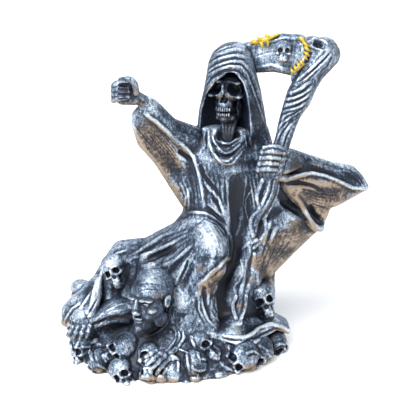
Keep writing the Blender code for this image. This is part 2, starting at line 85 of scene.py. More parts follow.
def sight(u, v):
    """Direction, in the figure's own unit, in which the eye sees drawing point (u, v)."""
    across = (u - DRAWING_MIDDLE) / DRAWING_REACH
    upward = (DRAWING_MIDDLE - v) / DRAWING_REACH
    return Vector((across, 0, 0)) + upward * EYE_UP - EYE_BACK


def at(x, y, z):
    """Place in the frame from percent of the height."""
    return Vector((x, y, z)) * PERCENT + ZERO


def spot(u, v, depth):
    """Place in the frame of drawing point (u, v) at a depth, in percent, behind the foot's middle."""
    ray = sight(u, v)
    return at(*(EYE + ray * (depth - EYE.y) / ray.y))


def bmesh_of(*meshes):
    """Meshes opened together for editing."""
    bm = bmesh.new()
    for mesh in meshes:
        bm.from_mesh(mesh)
    return bm


def mesh_of(bm, name):
    """The edited mesh, which is closed, as a new mesh."""
    mesh = bpy.data.meshes.new(name)
    bm.to_mesh(mesh)
    bm.free()
    return mesh


def add_object(name, data):
    made = bpy.data.objects.new(name, data)
    bpy.context.scene.collection.objects.link(made)
    return made


def even_out(made, rounds):
    """Lets the points of an object even out over some rounds."""
    soft = made.modifiers.new("soft", "SMOOTH")
    soft.factor = 0.5
    soft.iterations = rounds


def wrap_skin(made, grain, rounds):
    """Closes one skin of this grain, in the object's own unit, round all the shapes of an object."""
    skin = made.modifiers.new("skin", "REMESH")
    skin.mode = "VOXEL"
    skin.voxel_size = grain
    if rounds:
        even_out(made, rounds)


def baked(made):
    """The evaluated mesh of an object, which is removed."""
    graph = bpy.context.evaluated_depsgraph_get()
    mesh = bpy.data.meshes.new_from_object(made.evaluated_get(graph))
    mesh.transform(made.matrix_world)
    bpy.data.objects.remove(made)
    return mesh


class Clay:
    """Rough closed shapes that overlap and are fused into one skin."""

    def __init__(self):
        self.bm = bmesh.new()
        self.balls = bmesh.new()  # apart, because an operator is slow in a mesh that is already dense
        self.rolls = bpy.data.curves.new("rolls", "CURVE")
        self.rolls.dimensions = "3D"
        self.rolls.bevel_depth = 1.0
        self.rolls.bevel_resolution = 3
        self.rolls.resolution_u = 6
        self.rolls.use_fill_caps = True

    def ball(self, centre, radii, turn=(0, 0, 0)):
        """A ball of one radius, or an egg of three, in percent."""
        radii = [radii] * 3 if isinstance(radii, (int, float)) else radii
        place = Matrix.Translation(centre) @ Euler(map(math.radians, turn)).to_matrix().to_4x4()
        size = Matrix.Diagonal([r * PERCENT for r in radii] + [1])
        bmesh.ops.create_uvsphere(self.balls, u_segments=20, v_segments=12, radius=1, matrix=place @ size)

    def roll(self, path):
        """A round roll of clay through (u, v, depth, radius) points."""
        self.roll_through([(spot(u, v, depth), radius) for u, v, depth, radius in path])

    def roll_through(self, path):
        """A round roll of clay through (place, radius) points, with round ends."""
        spline = self.rolls.splines.new("BEZIER")
        spline.bezier_points.add(len(path) - 1)
        for point, (place, radius) in zip(spline.bezier_points, path, strict=True):
            point.co = place
            point.radius = radius * PERCENT
            point.handle_left_type = point.handle_right_type = "AUTO"
        for place, radius in (path[0], path[-1]):
            self.ball(place, radius * 0.99)

    def hull(self, balls):
        """The tight skin round (u, v, depth, radius) balls."""
        lump = bmesh.new()
        for u, v, depth, radius in balls:
            place = Matrix.Translation(spot(u, v, depth))
            bmesh.ops.create_icosphere(lump, subdivisions=2, radius=radius * PERCENT, matrix=place)
        made = bmesh.ops.convex_hull(lump, input=lump.verts)
        inner = [e for e in made["geom_interior"] if isinstance(e, bmesh.types.BMVert)]
        bmesh.ops.delete(lump, geom=inner, context="VERTS")
        self.add(mesh_of(lump, "lump"))

    def stack(self, rings, sides=48):
        """A turned mass through level ovals (x, y, z, half width, half depth), bottom to top."""
        lump = bmesh.new()
        loops = []
        for x, y, z, wide, deep in rings:
            oval = Matrix.Translation(at(x, y, z)) @ Matrix.Diagonal((wide * PERCENT, deep * PERCENT, 1, 1))
            made = bmesh.ops.create_circle(lump, segments=sides, radius=1, matrix=oval)
            loops.append(made["verts"])
        for low, high in zip(loops, loops[1:]):
            edges = {e for v in low + high for e in v.link_edges if len(e.link_faces) < 2}
            level = [e for e in edges if (e.verts[0] in low) == (e.verts[1] in low)]
            bmesh.ops.bridge_loops(lump, edges=level)
        for end in (loops[0], loops[-1]):
            bmesh.ops.contextual_create(lump, geom=end)
        bmesh.ops.recalc_face_normals(lump, faces=lump.faces)
        self.add(mesh_of(lump, "lump"))

    def add(self, mesh, place=None):
        """Presses a closed mesh into the clay, moved by a matrix."""
        copy = mesh.copy()
        if place is not None:
            copy.transform(place)
        self.bm.from_mesh(copy)
        bpy.data.meshes.remove(copy)

    def fused(self, name, grain, smoothing):
        """One closed skin round all the clay, as an object; grain in metres."""
        self.add(mesh_of(self.balls, "balls"))
        if self.rolls.splines:
            self.add(baked(add_object("rolls", self.rolls)))
        rough = add_object(name, mesh_of(self.bm, name))
        wrap_skin(rough, grain, smoothing)
        return add_object(name, baked(rough))


def cut_away(made, tool):
    """The object less a closed tool mesh, as a mesh."""
    cutter = add_object("tool", tool)
    cut = made.modifiers.new("cut", "BOOLEAN")
    cut.operation = "DIFFERENCE"
    cut.solver = "MANIFOLD"
    cut.object = cutter
    mesh = baked(made)
    bpy.data.objects.remove(cutter)
    return mesh


def edge_ends(mesh):
    """The vertex numbers at the two ends of every edge, as two rows."""
    edges = np.empty(len(mesh.edges) * 2, np.int32)
    mesh.edges.foreach_get("vertices", edges)
    return edges.reshape(-1, 2).T


CRUMB = 400  # points; a smaller skin is a crumb or a sealed cavity


def drop_crumbs(mesh):
    """Drops every connected skin that is too small to be a part of the figure."""
    a, b = edge_ends(mesh)
    label = np.arange(len(mesh.vertices))
    while True:
        low = np.minimum(label[a], label[b])
        spread = label.copy()
        np.minimum.at(spread, a, low)
        np.minimum.at(spread, b, low)
        spread = spread[spread]
        if (spread == label).all():
            break
        label = spread
    small = np.bincount(label)[label] < CRUMB
    if not small.any():
        return
    bm = bmesh_of(mesh)
    bm.verts.ensure_lookup_table()
    stray = [bm.verts[i] for i in np.nonzero(small)[0]]
    bmesh.ops.delete(bm, geom=stray, context="VERTS")
    bm.to_mesh(mesh)
    bm.free()


def cut_flat(mesh, level=0.0):
    """Cuts a skin off at the foot's level and closes it there."""
    bm = bmesh_of(mesh)
    geom = bm.verts[:] + bm.edges[:] + bm.faces[:]
    bmesh.ops.bisect_plane(bm, geom=geom, plane_co=(0, 0, level), plane_no=(0, 0, 1), clear_inner=True)
    rim = [e for e in bm.edges if e.is_boundary]
    bmesh.ops.holes_fill(bm, edges=rim)
    bm.to_mesh(mesh)
    bm.free()
    drop_crumbs(mesh)


STROKE_STEP = 0.8  # drawing points between the places that a stroke presses
STROKE_ROUNDS = 12  # of evening out its row of places
STROKE_TAPER = 0.7  # how soon a stroke reaches its full height; 0 is at once


def stroke_places(skin, line):
    """The places on the skin under a drawn line."""
    places = []
    for a, b in zip(line, line[1:]):
        steps = math.ceil(math.dist(a, b) / STROKE_STEP)
        for n in range(steps + 1):
            u, v = (a[0] + (b[0] - a[0]) * n / steps, a[1] + (b[1] - a[1]) * n / steps)
            hit = skin.ray_cast(at(*EYE), sight(u, v).normalized())[0]
            if hit:
                places.append(hit)
    return places


def softened(places):
    """The row of places with its sudden steps and corners smoothed out."""
    row = np.array(places)
    for _ in range(STROKE_ROUNDS):
        if len(row) > 2:
            row[1:-1] = (row[:-2] + 2 * row[1:-1] + row[2:]) / 4
    return row


def arrays(mesh):
    """A mesh's points and vertex normals."""
    count = len(mesh.vertices)
    points, normals = np.empty(count * 3), np.empty(count * 3)
    mesh.vertices.foreach_get("co", points)
    mesh.vertex_normals.foreach_get("vector", normals)
    return points.reshape(-1, 3), normals.reshape(-1, 3)


def press(mesh, strokes):
    """Raises or sinks the skin along drawn lines, fading to each line's width and ends."""
    skin = tree_of(mesh)
    points, normals = arrays(mesh)
    moves = np.zeros(len(points))
    share_shown = bpy.context.scene.figure_sizes.fold_height
    for line, width, height in strokes:
        places = line if isinstance(line, list) else stroke_places(skin, line)
        if not places:
            continue
        row = softened(places)
        reach = width * PERCENT
        near = np.nonzero(((points > row.min(0) - reach) & (points < row.max(0) + reach)).all(1))[0]
        gap = np.full(len(near), np.inf)
        share = np.zeros(len(near))
        for n, place in enumerate(row):
            step = ((points[near] - place) ** 2).sum(1)
            share = np.where(step < gap, n / len(row), share)
            gap = np.minimum(gap, step)
        taper = np.sin(np.pi * share) ** STROKE_TAPER
        moves[near] += taper * np.clip(1 - gap / reach**2, 0, 1) ** 2 * height * share_shown * PERCENT
    points += normals * moves[:, None]
    mesh.vertices.foreach_set("co", points.ravel())
    mesh.update()


def fan(first, last, count, width, height):
    """Strokes spread evenly between two drawn lines that have the same number of points."""
    strokes = []
    for n in range(count):
        t = n / (count - 1)
        pairs = zip(first, last, strict=True)
        line = tuple((a[0] + (b[0] - a[0]) * t, a[1] + (b[1] - a[1]) * t) for a, b in pairs)
        strokes.append((line, width, height))
    return strokes


def blurred(values, a, b, degree, rounds):
    """Values at the vertices, evened out along the edges."""
    count = len(values)
    for _ in range(rounds):
        total = np.empty_like(values)
        for c in range(values.shape[1]):
            total[:, c] = np.bincount(a, values[b, c], count) + np.bincount(b, values[a, c], count)
        values = (values + total / degree) / 2
    return values


SHADE_RAYS = 14
SHADE_REACH = 22 * MM
SHADE_START = 0.8 * MM
SHADE_EVERY = 9  # one vertex in so many looks round itself
# A skin evened out over more and more rounds; what stands out between two of them is a fleck, a fold
# or a limb, and moves the paint by so much for each millimetre
FLECK_ROUNDS, FOLD_ROUNDS, LIMB_ROUNDS = 4, 24, 60
FLECK_SHARE, FOLD_SHARE, LIMB_SHARE = 2.0, 0.45, 0.1
FACING_ROUNDS = 6
LIGHT_ROUNDS = 14
RELIEF_SPAN = 0.42  # how far a raised edge or a groove moves the paint, of 0.5
DEEPEST = 0.3  # share of the paint left where no brush could reach and painted shade falls deepest
SHELTERED = 0.2  # share of the sky seen by a point that no brush reaches and that gets the deepest painted shade
SHELTER_FADE = 0.6  # how much more of it a point sees that every brush reaches and that gets no painted shade
PAINTED_LIGHT_DAB = 0.5  # how far a full dab of painted highlight, shadow or floor reflection moves the paint
THIN_SHADOW_DAB = 0.3  # the same for a painted shadow dab on a thin piece that stands clear


def tree_of(mesh):
    """A mesh as a tree for rays."""
    bm = bmesh_of(mesh)
    tree = BVHTree.FromBMesh(bm)
    bm.free()
    return tree


def openness(points, normals, trees):
    """Share of the sky that some of the vertices see past the figure, and which ones these are."""
    chosen = np.arange(0, len(points), SHADE_EVERY)
    seen = np.zeros(len(points))
    turn = math.pi * (3 - math.sqrt(5))
    rays = []
    for n in range(SHADE_RAYS):
        high = (n + 0.5) / SHADE_RAYS
        flat = math.sqrt(1 - high * high)
        rays.append(Vector((flat * math.cos(turn * n), flat * math.sin(turn * n), high)))
    for index in chosen:
        normal = Vector(normals[index])
        start = Vector(points[index]) + normal * SHADE_START
        spin = normal.to_track_quat("Z", "Y")
        blocked = 0
        for ray in rays:
            way = spin @ ray
            blocked += any(tree.ray_cast(start, way, SHADE_REACH)[0] is not None for tree in trees)
        seen[index] = 1 - blocked / SHADE_RAYS
    return chosen, seen


# Painted light, dabbed on where the eye sees each drawing point: drawing place, radius in drawing points,
# and strength
# Painted reflection of a warm floor, in tan, on the cloak, sleeves, lap and foot
PAINTED_FLOOR_REFLECTION_DABS = (
    (150, 142, 13, 0.5), (166, 166, 12, 0.5), (178, 190, 8, 0.3), (200, 268, 7, 0.6),
    (216, 274, 7, 0.9), (228, 262, 5, 0.8), (205, 288, 7, 0.9), (200, 305, 7, 0.4), (300, 186, 15, 1.0),
    (330, 190, 15, 0.9), (318, 206, 10, 1.0), (302, 206, 5, 0.9), (312, 226, 6, 0.9),
    (285, 250, 15, 0.8), (270, 262, 12, 0.9), (268, 278, 9, 0.5), (300, 228, 8, 0.6),
    (318, 163, 9, 0.8), (156, 291, 9, 0.4), (262, 238, 5, 0.6), (256, 262, 6, 0.8), (296, 160, 5, 0.3),
    (249, 280, 5, 0.8), (240, 306, 6, 0.8), (64, 325, 7, 0.9), (100, 373, 9, 0.5), (130, 386, 7, 0.8),
    (160, 382, 11, 0.9), (195, 382, 9, 0.8), (230, 381, 9, 0.6), (255, 372, 9, 0.5), (177, 354, 7, 0.7),
    (232, 100, 6, 0.25), (152, 376, 8, 0.4), (228, 132, 8, 0.8), (262, 327, 6, 0.5), (280, 331, 6, 0.6),
)
# Painted shadow where shade falls: the gap in the robe, the hood and the face in it, under the arms and
# between the skulls
SHADOW_DABS = (
    (245, 350, 9, 0.45), (266, 345, 10, 0.4), (280, 345, 8, 0.4), (204, 345, 8, 0.35),
    (198, 368, 8, 0.3), (120, 346, 7, 0.2), (100, 362, 8, 0.4), (92, 343, 8, 0.3), (134, 282, 8, 0.4),
    (237, 200, 8, 0.8), (141, 269, 5, 0.7), (204, 112, 10, 0.4), (283, 51, 8, 0.35), (250, 140, 7, 0.6),
    (262, 140, 8, 0.3), (150, 332, 8, 0.5), (118, 338, 10, 0.5), (196, 138, 9, 0.3), (220, 240, 4, 0.3),
    (292, 150, 8, 0.4), (258, 222, 7, 0.4), (156, 322, 6, 0.4), (227, 152, 13, 0.35),
    (213, 178, 10, 0.3), (222, 195, 9, 0.2), (246, 158, 9, 0.4), (165, 112, 9, 0.3),
    (180, 128, 8, 0.35), (258, 120, 8, 0.25), (306, 160, 7, 0.3), (227, 79, 9, 1.0), (207, 98, 7, 0.5),
    (247, 108, 8, 0.6), (228, 132, 11, 0.6), (240, 185, 10, 0.5), (244, 215, 11, 0.6),
    (238, 250, 9, 0.9), (232, 285, 9, 0.6), (226, 312, 8, 0.5), (252, 165, 8, 0.4),
    (160, 253, 11, 0.35), (148, 336, 9, 0.5), (124, 283, 7, 0.4), (118, 332, 9, 0.4),
    (254, 303, 8, 0.5), (285, 200, 7, 0.6), (352, 178, 10, 0.25), (296, 166, 6, 0.5), (126, 90, 8, 0.7),
    (222, 325, 6, 0.4), (70, 340, 8, 0.3),
)
# Painted highlights where the light falls brightest: knees, domes, hem, blade and train
PAINTED_HIGHLIGHT_DABS = (
    (262, 200, 7, 0.2), (253, 226, 6, 0.25), (250, 245, 6, 0.3), (244, 270, 6, 0.3), (238, 290, 6, 0.3),
    (206, 226, 11, 0.22), (214, 240, 9, 0.12), (262, 54, 14, 0.6), (288, 54, 11, 0.45),
    (278, 64, 10, 0.3), (226, 90, 11, 0.3), (192, 194, 10, 0.4), (108, 292, 12, 0.45),
    (340, 172, 9, 0.2), (236, 331, 11, 0.4), (249, 334, 7, 0.35), (112, 307, 9, 0.25),
    (332, 54, 9, 0.3), (308, 62, 12, 0.2), (198, 232, 14, 0.15), (110, 262, 6, 0.2),
    (184, 258, 12, 0.12), (80, 304, 10, 0.4), (150, 277, 11, 0.45), (180, 302, 9, 0.4),
    (214, 334, 9, 0.3), (118, 264, 6, 0.3), (122, 346, 8, 0.3), (124, 369, 6, 0.3), (150, 362, 8, 0.25),
    (240, 348, 8, 0.2), (272, 160, 10, 0.25), (310, 95, 12, 0.15), (234, 55, 12, 0.15),
    (192, 160, 8, 0.2),
)


def dabbed(points, normals, dabs):
    """How much of a row of painted light dabs each vertex gets that faces the eye."""
    rest = (points - np.array(ZERO)) / PERCENT - np.array(EYE)
    reach = -rest @ np.array(EYE_BACK)
    across = DRAWING_MIDDLE + DRAWING_REACH * rest[:, 0] / reach
    down = DRAWING_MIDDLE - DRAWING_REACH * (rest @ np.array(EYE_UP)) / reach
    front = np.clip(normals @ np.array(EYE_BACK) * 3, 0, 1)
    total = np.zeros(len(points))
    for u, v, radius, strength in dabs:
        total += strength * np.exp(-((across - u) ** 2 + (down - v) ** 2) / radius**2)
    return total * front


def mark_relief(mesh, broad):
    """Stores on the mesh what the painter's brush meets, with painted light laid in: how far each point
    stands out, darkened as painted shade where little sky is seen and moved by the painted highlight and
    shadow dabs; how far it faces down, with the painted floor reflection dabs; and how open it is to the
    sky, as the three shares of a colour."""
    count = len(mesh.vertices)
    points, normals = arrays(mesh)
    a, b = edge_ends(mesh)
    degree = np.maximum(np.bincount(a, minlength=count) + np.bincount(b, minlength=count), 1)[:, None]
    fine = blurred(points, a, b, degree, FLECK_ROUNDS)
    middle = blurred(fine, a, b, degree, FOLD_ROUNDS)
    distant = blurred(middle, a, b, degree, LIMB_ROUNDS)
    even = blurred(normals, a, b, degree, FACING_ROUNDS)
    even /= np.maximum(np.linalg.norm(even, axis=1), 1e-9)[:, None]
    small = ((points - fine) * even).sum(1) / MM
    medium = ((fine - middle) * even).sum(1) / MM
    large = ((middle - distant) * even).sum(1) / MM
    pieces = [piece.data for piece in bpy.data.objects if piece.type == "MESH"]
    others = [other for other in pieces if "relief" in other.color_attributes]
    chosen, seen = openness(points, even, [tree_of(other) for other in [mesh, *others]])
    known = np.zeros((count, 2))
    known[chosen, 0] = seen[chosen]
    known[chosen, 1] = 1
    known = blurred(known, a, b, degree, LIGHT_ROUNDS)
    light = known[:, 0] / np.maximum(known[:, 1], 1e-6)
    relief = np.empty((count, 4), np.float32)
    shelter = np.clip((light - SHELTERED) / SHELTER_FADE, 0, 1)
    lifted = FLECK_SHARE * small + FOLD_SHARE * medium + LIMB_SHARE * large
    lifted = RELIEF_SPAN * np.tanh(lifted / RELIEF_SPAN)
    shadow_dab = PAINTED_LIGHT_DAB if broad else THIN_SHADOW_DAB
    lifted += PAINTED_LIGHT_DAB * dabbed(points, even, PAINTED_HIGHLIGHT_DABS) - shadow_dab * dabbed(points, even, SHADOW_DABS)
    # Relief and dry brush, darkened as painted shade where little sky is seen, raised by the painted
    # highlight dabs and sunk by the painted shadow dabs
    relief[:, 0] = (0.5 + lifted) * (DEEPEST + (1 - DEEPEST) * shelter)
    # Facing down, with its dabs: painted reflection of a warm floor
    relief[:, 1] = 0.5 - 0.5 * even[:, 2] + PAINTED_LIGHT_DAB * dabbed(points, even, PAINTED_FLOOR_REFLECTION_DABS)
    relief[:, 2] = light
    relief[:, 3] = 1
    layer = mesh.color_attributes.new("relief", "FLOAT_COLOR", "POINT")
    layer.data.foreach_set("color", np.clip(relief, 0, 1).ravel())


TRIANGLE_LIMIT = 190_000
UNEVEN_HEIGHT = 0.45 * MM
UNEVEN_WIDTH = 2.2 * MM


def cast_surface():
    """The fine unevenness of a hand-modelled cast."""
    clouds = bpy.data.textures.get("cast_surface")
    if not clouds:
        clouds = bpy.data.textures.new("cast_surface", "CLOUDS")
        clouds.noise_scale = UNEVEN_WIDTH
        clouds.noise_depth = 2
    return clouds


def finish_piece(made, name, material, broad=True):
    """Thins a modelled object to the limit, marks its relief and sets it on the figure's body.

    A broad piece takes the painted shadow dabs in full, a thin one that stands clear in part.
    """
    triangles = sum(len(face.vertices) - 2 for face in made.data.polygons)
    if triangles > TRIANGLE_LIMIT:
        thin = made.modifiers.new("thin", "DECIMATE")
        thin.ratio = TRIANGLE_LIMIT / triangles
    uneven = made.modifiers.new("uneven", "DISPLACE")
    uneven.texture = cast_surface()
    uneven.texture_coords = "LOCAL"
    uneven.strength = UNEVEN_HEIGHT
    mesh = baked(made)
    mark_relief(mesh, broad)
    mesh.shade_smooth()
    mesh.materials.clear()
    mesh.materials.append(material)
    piece = add_object(name, mesh)
    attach(piece, BODY)
    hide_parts(NODE)
    return piece


# Colours and finishes; the widths are those of the marks that a brush leaves
BRISTLE_WIDTH = 0.75 * MM
STREAK_WIDTH = 1.5 * MM
PATCH_WIDTH = 11 * MM
GOLD_MARK_WIDTH = 1.2 * MM
STREAK_HEIGHT = 0.4 * MM
STREAK_STRETCH = 0.3  # the brush went up and down, so its streaks are longer that way
RAGGED_EDGE = 0.2  # how far the patches move the edge between silver and the painted floor reflection
# Between these sums of relief and brush marks the paint goes from undercoat to its brightest
BARE, BRIGHTEST = 1.12, 2.08


def linear(code):
    """The linear colour of an sRGB hex value."""
    shares = [int(code[i : i + 2], 16) / 255 for i in (1, 3, 5)]
    return [s / 12.92 if s <= 0.04045 else ((s + 0.055) / 1.055) ** 2.4 for s in shares] + [1]


def add_node(tree, kind, settings=(), links=(), stops=()):
    """Adds a node, sets its options and inputs, links inputs to outputs, and fills a ramp's stops."""
    node = tree.nodes.new(kind)
    for name, value in dict(settings).items():
        if isinstance(name, int) or name in node.inputs:
            node.inputs[name].default_value = value
        else:
            setattr(node, name, value)
    for name, source in dict(links).items():
        tree.links.new(source, node.inputs[name])
    for n, (position, colour) in enumerate(stops):
        element = node.color_ramp.elements[n] if n < 2 else node.color_ramp.elements.new(position)
        element.position = position
        element.color = colour
    return node


def new_paint(name):
    """A material, its nodes and shader, the place on the piece, and the relief's three shares."""
    paint = bpy.data.materials.new(name)
    paint.use_nodes = True
    tree = paint.node_tree
    place = add_node(tree, "ShaderNodeTexCoord").outputs["Object"]
    relief = add_node(tree, "ShaderNodeVertexColor", {"layer_name": "relief"})
    parts = add_node(tree, "ShaderNodeSeparateColor", links={"Color": relief.outputs["Color"]})
    return paint, tree, tree.nodes["Principled BSDF"], place, parts.outputs


def silvered_resin():
    """Cast resin, sprayed black and dry-brushed with silver: nearly black in the folds, where no brush came
    and painted shade is laid, bright where an edge or a swelling met the brush, and tan brown on what faces
    down, a painted reflection of a warm floor."""
    paint = bpy.data.materials.get("dry_brushed_cast_resin")
    if paint:
        return paint
    paint, tree, shader, place, (raised, under, _) = new_paint("dry_brushed_cast_resin")
    colours = bpy.context.scene.figure_colours
    # Bristle marks of about a millimetre, broken by the cast's own grain, and patches a finger wide
    settings = {"Scale": 1 / BRISTLE_WIDTH, "Detail": 4, "Roughness": 0.7}
    grain = add_node(tree, "ShaderNodeTexNoise", settings, {"Vector": place})
    brush = add_node(tree, "ShaderNodeMapping", {"Scale": (1, 1, STREAK_STRETCH)}, {"Vector": place})
    settings = {"Scale": 1 / STREAK_WIDTH, "Detail": 4, "Distortion": 0.8}
    streak = add_node(tree, "ShaderNodeTexNoise", settings, {"Vector": brush.outputs[0]})
    patch = add_node(tree, "ShaderNodeTexNoise", {"Scale": 1 / PATCH_WIDTH, "Detail": 4}, {"Vector": place})
    worked = raised
    for noise, share in ((grain, 1.0), (streak, 0.6), (patch, 0.3)):
        links = {0: noise.outputs[0], 2: worked}
        worked = add_node(tree, "ShaderNodeMath", {"operation": "MULTIPLY_ADD", 1: share}, links).outputs[0]
    settings = {"From Min": BARE, "From Max": BRIGHTEST}
    height = add_node(tree, "ShaderNodeMapRange", settings, {"Value": worked}).outputs[0]
    stops = ((0.14, colours.black), (0.36, colours.graphite), (0.56, colours.silver), (0.8, colours.bright))
    silver = add_node(tree, "ShaderNodeValToRGB", links={0: height}, stops=stops)
    # Painted reflection of a warm floor on what faces down, from dark brown to tan
    stops = ((0.14, colours.black), (0.38, colours.brown), (0.64, colours.tan))
    floor_reflection = add_node(tree, "ShaderNodeValToRGB", links={0: height}, stops=stops)
    # Where the painted floor reflection takes over from the silver, with a ragged edge
    settings = {"operation": "MULTIPLY_ADD", 1: RAGGED_EDGE}
    ragged = add_node(tree, "ShaderNodeMath", settings, {0: patch.outputs[0], 2: under})
    settings = {"interpolation_type": "SMOOTHSTEP", "From Min": 0.66, "From Max": 0.86}
    below = add_node(tree, "ShaderNodeMapRange", settings, {"Value": ragged.outputs[0]})
    links = {0: below.outputs[0], 6: silver.outputs[0], 7: floor_reflection.outputs[0]}
    coat = add_node(tree, "ShaderNodeMix", {"data_type": "RGBA"}, links)
    tree.links.new(coat.outputs[2], shader.inputs["Base Color"])
    # Silver paint is metal flake in varnish; the black under it is plain resin
    settings = {"From Min": 0.3, "From Max": 0.8, "To Min": 0.15, "To Max": 0.6}
    flake = add_node(tree, "ShaderNodeMapRange", settings, {"Value": height})
    tree.links.new(flake.outputs[0], shader.inputs["Metallic"])
    settings = {"From Min": 0.2, "From Max": 0.8, "To Min": 0.52, "To Max": 0.4}
    rough = add_node(tree, "ShaderNodeMapRange", settings, {"Value": height})
    tree.links.new(rough.outputs[0], shader.inputs["Roughness"])
    settings = {"Strength": 0.4, "Distance": STREAK_HEIGHT}
    bump = add_node(tree, "ShaderNodeBump", settings, {"Height": streak.outputs[0]})
    tree.links.new(bump.outputs[0], shader.inputs["Normal"])
    return paint


def gold_paint():
    """Yellow gold model paint, put on thickly with a small brush: satin and warm, brown in the cracks."""
    paint = bpy.data.materials.get("brushed_gold_paint")
    if paint:
        return paint
    paint, tree, shader, place, (raised, _, _) = new_paint("brushed_gold_paint")
    colours = bpy.context.scene.figure_colours
    settings = {"Scale": 1 / GOLD_MARK_WIDTH, "Detail": 4}
    grain = add_node(tree, "ShaderNodeTexNoise", settings, {"Vector": place})
    # The relief's first share carries painted shade and the painted shadow and highlight dabs, which darken
    # or lighten the gold
    links = {0: grain.outputs[0], 2: raised}
    worked = add_node(tree, "ShaderNodeMath", {"operation": "MULTIPLY_ADD", 1: 0.5}, links)
    stops = ((0.5, colours.gold_shadow), (0.78, colours.gold))
    gold = add_node(tree, "ShaderNodeValToRGB", links={0: worked.outputs[0]}, stops=stops)
    tree.links.new(gold.outputs[0], shader.inputs["Base Color"])
    shader.inputs["Metallic"].default_value = 0.35
    shader.inputs["Roughness"].default_value = 0.38
    return paint


# Heads: eggs (x, y, z; half width, half depth, half height) in a unit of their own, facing -Y
LARGE_EGG = 0.15  # a larger one gets more faces


def eggs(shapes):
    """Overlapping eggs as one mesh."""
    bm = bmesh.new()
    for x, y, z, wide, deep, high in shapes:
        place = Matrix.Translation((x, y, z)) @ Matrix.Diagonal((wide, deep, high, 1))
        fineness = 5 if max(wide, deep, high) > LARGE_EGG else 3
        bmesh.ops.create_icosphere(bm, subdivisions=fineness, radius=1, matrix=place)
    return mesh_of(bm, "eggs")


def mirrored(shapes):
    """The same shapes with their left-hand twins."""
    return shapes + [(-x, *rest) for x, *rest in shapes]


TOOTH_BOW = 1.6  # how strongly a row of teeth bends back at its ends


def tooth_row(z, count, spread, depth, size):
    """A bowed row of teeth."""
    teeth = []
    for n in range(count):
        x = spread * (2 * n / (count - 1) - 1)
        teeth.append((x, depth + TOOTH_BOW * x * x, z, *size))
    return teeth


# The skull's unit is its width, the man's is his head's height
SKULL_FACE_BONE = [
    (0, -0.26, -0.03, 0.36, 0.22, 0.3),
    (0, -0.37, -0.34, 0.17, 0.19, 0.16),
    (0, -0.36, -0.63, 0.15, 0.19, 0.13),
    (0, -0.5, 0.02, 0.04, 0.09, 0.15),
    *mirrored(
        [
            (0.12, -0.42, 0.18, 0.11, 0.1, 0.045),
            (0.24, -0.37, 0.15, 0.12, 0.11, 0.045),
            (0.31, -0.32, -0.15, 0.1, 0.17, 0.055),
            (0.39, -0.05, -0.13, 0.04, 0.25, 0.04),
            (0.25, -0.12, -0.44, 0.06, 0.16, 0.26),
            (0.14, -0.29, -0.64, 0.1, 0.18, 0.085),
        ]
    ),
]
SKULL_BONE = [(0, 0.1, 0.22, 0.5, 0.6, 0.46), (0, -0.2, 0.2, 0.41, 0.29, 0.3), *SKULL_FACE_BONE]
HOODED_BONE = [(0, 0.16, 0.1, 0.42, 0.46, 0.28), (0, -0.18, 0.12, 0.34, 0.24, 0.18), *SKULL_FACE_BONE]
SKULL_HOLLOWS = [
    (0, -0.54, -0.16, 0.035, 0.16, 0.09),
    *mirrored(
        [
            (0.185, -0.48, 0.03, 0.125, 0.29, 0.135),
            (0.22, -0.47, -0.02, 0.125, 0.29, 0.125),
            (0.05, -0.54, -0.23, 0.055, 0.18, 0.065),
            (0.57, -0.2, 0.06, 0.11, 0.22, 0.16),
            (0.37, -0.38, -0.42, 0.14, 0.24, 0.15),
        ]
    ),
    (0, -0.6, -0.483, 0.2, 0.16, 0.012),
]
TEETH = [
    *tooth_row(-0.425, 7, 0.15, -0.555, (0.017, 0.045, 0.055)),
    *tooth_row(-0.54, 7, 0.135, -0.545, (0.016, 0.045, 0.05)),
]
MAN_HEAD = [
    (0, 0.08, 0.17, 0.3, 0.37, 0.3),
    (0, -0.14, 0.14, 0.25, 0.21, 0.2),
    (0, -0.1, -0.1, 0.27, 0.26, 0.3),
    (0, -0.2, -0.36, 0.15, 0.17, 0.13),
    (0, -0.37, -0.04, 0.04, 0.07, 0.13),
    (0, -0.41, -0.13, 0.05, 0.055, 0.045),
    (0, -0.36, -0.235, 0.085, 0.05, 0.022),
    (0, -0.355, -0.285, 0.075, 0.05, 0.024),
    (0, -0.33, -0.4, 0.07, 0.07, 0.055),
    *mirrored(
        [
            (0.09, -0.34, 0.075, 0.075, 0.06, 0.03),
            (0.18, -0.29, 0.065, 0.06, 0.07, 0.028),
            (0.045, -0.4, -0.14, 0.03, 0.045, 0.028),
            (0.2, -0.24, -0.1, 0.07, 0.1, 0.05),
            (0.22, -0.05, -0.3, 0.06, 0.16, 0.12),
            (0.3, 0.02, -0.02, 0.035, 0.07, 0.1),
            (0.3, 0.05, 0.05, 0.045, 0.05, 0.05),
        ]
    ),
]
MAN_HOLLOWS = [
    (0, -0.43, -0.26, 0.08, 0.06, 0.007),
    *mirrored(
        [
            (0.12, -0.37, 0.0, 0.07, 0.07, 0.042),
            (0.25, -0.31, -0.23, 0.05, 0.09, 0.08),
            (0.34, 0.0, 0.0, 0.02, 0.045, 0.06),
        ]
    ),
]
MAN_EYES = mirrored([(0.12, -0.3, -0.003, 0.05, 0.04, 0.03), (0.12, -0.318, 0.016, 0.055, 0.04, 0.012)])
# Grain of a head's skin in its own unit, and how far its eggs run into each other, as an area of it
FINE_HEAD = 0.011
COARSE_HEAD = 0.03
MELTING = 0.0011


def melted(shapes, grain):
    """Eggs fused to one soft skin, as an object."""
    rough = add_object("rough", eggs(shapes))
    wrap_skin(rough, grain, round(MELTING / grain**2) + 1)
    return rough


def carved(solid, hollows, grain):
    """A mesh fused from eggs, less its hollows."""
    return cut_away(melted(solid, grain), baked(melted(hollows, grain)))


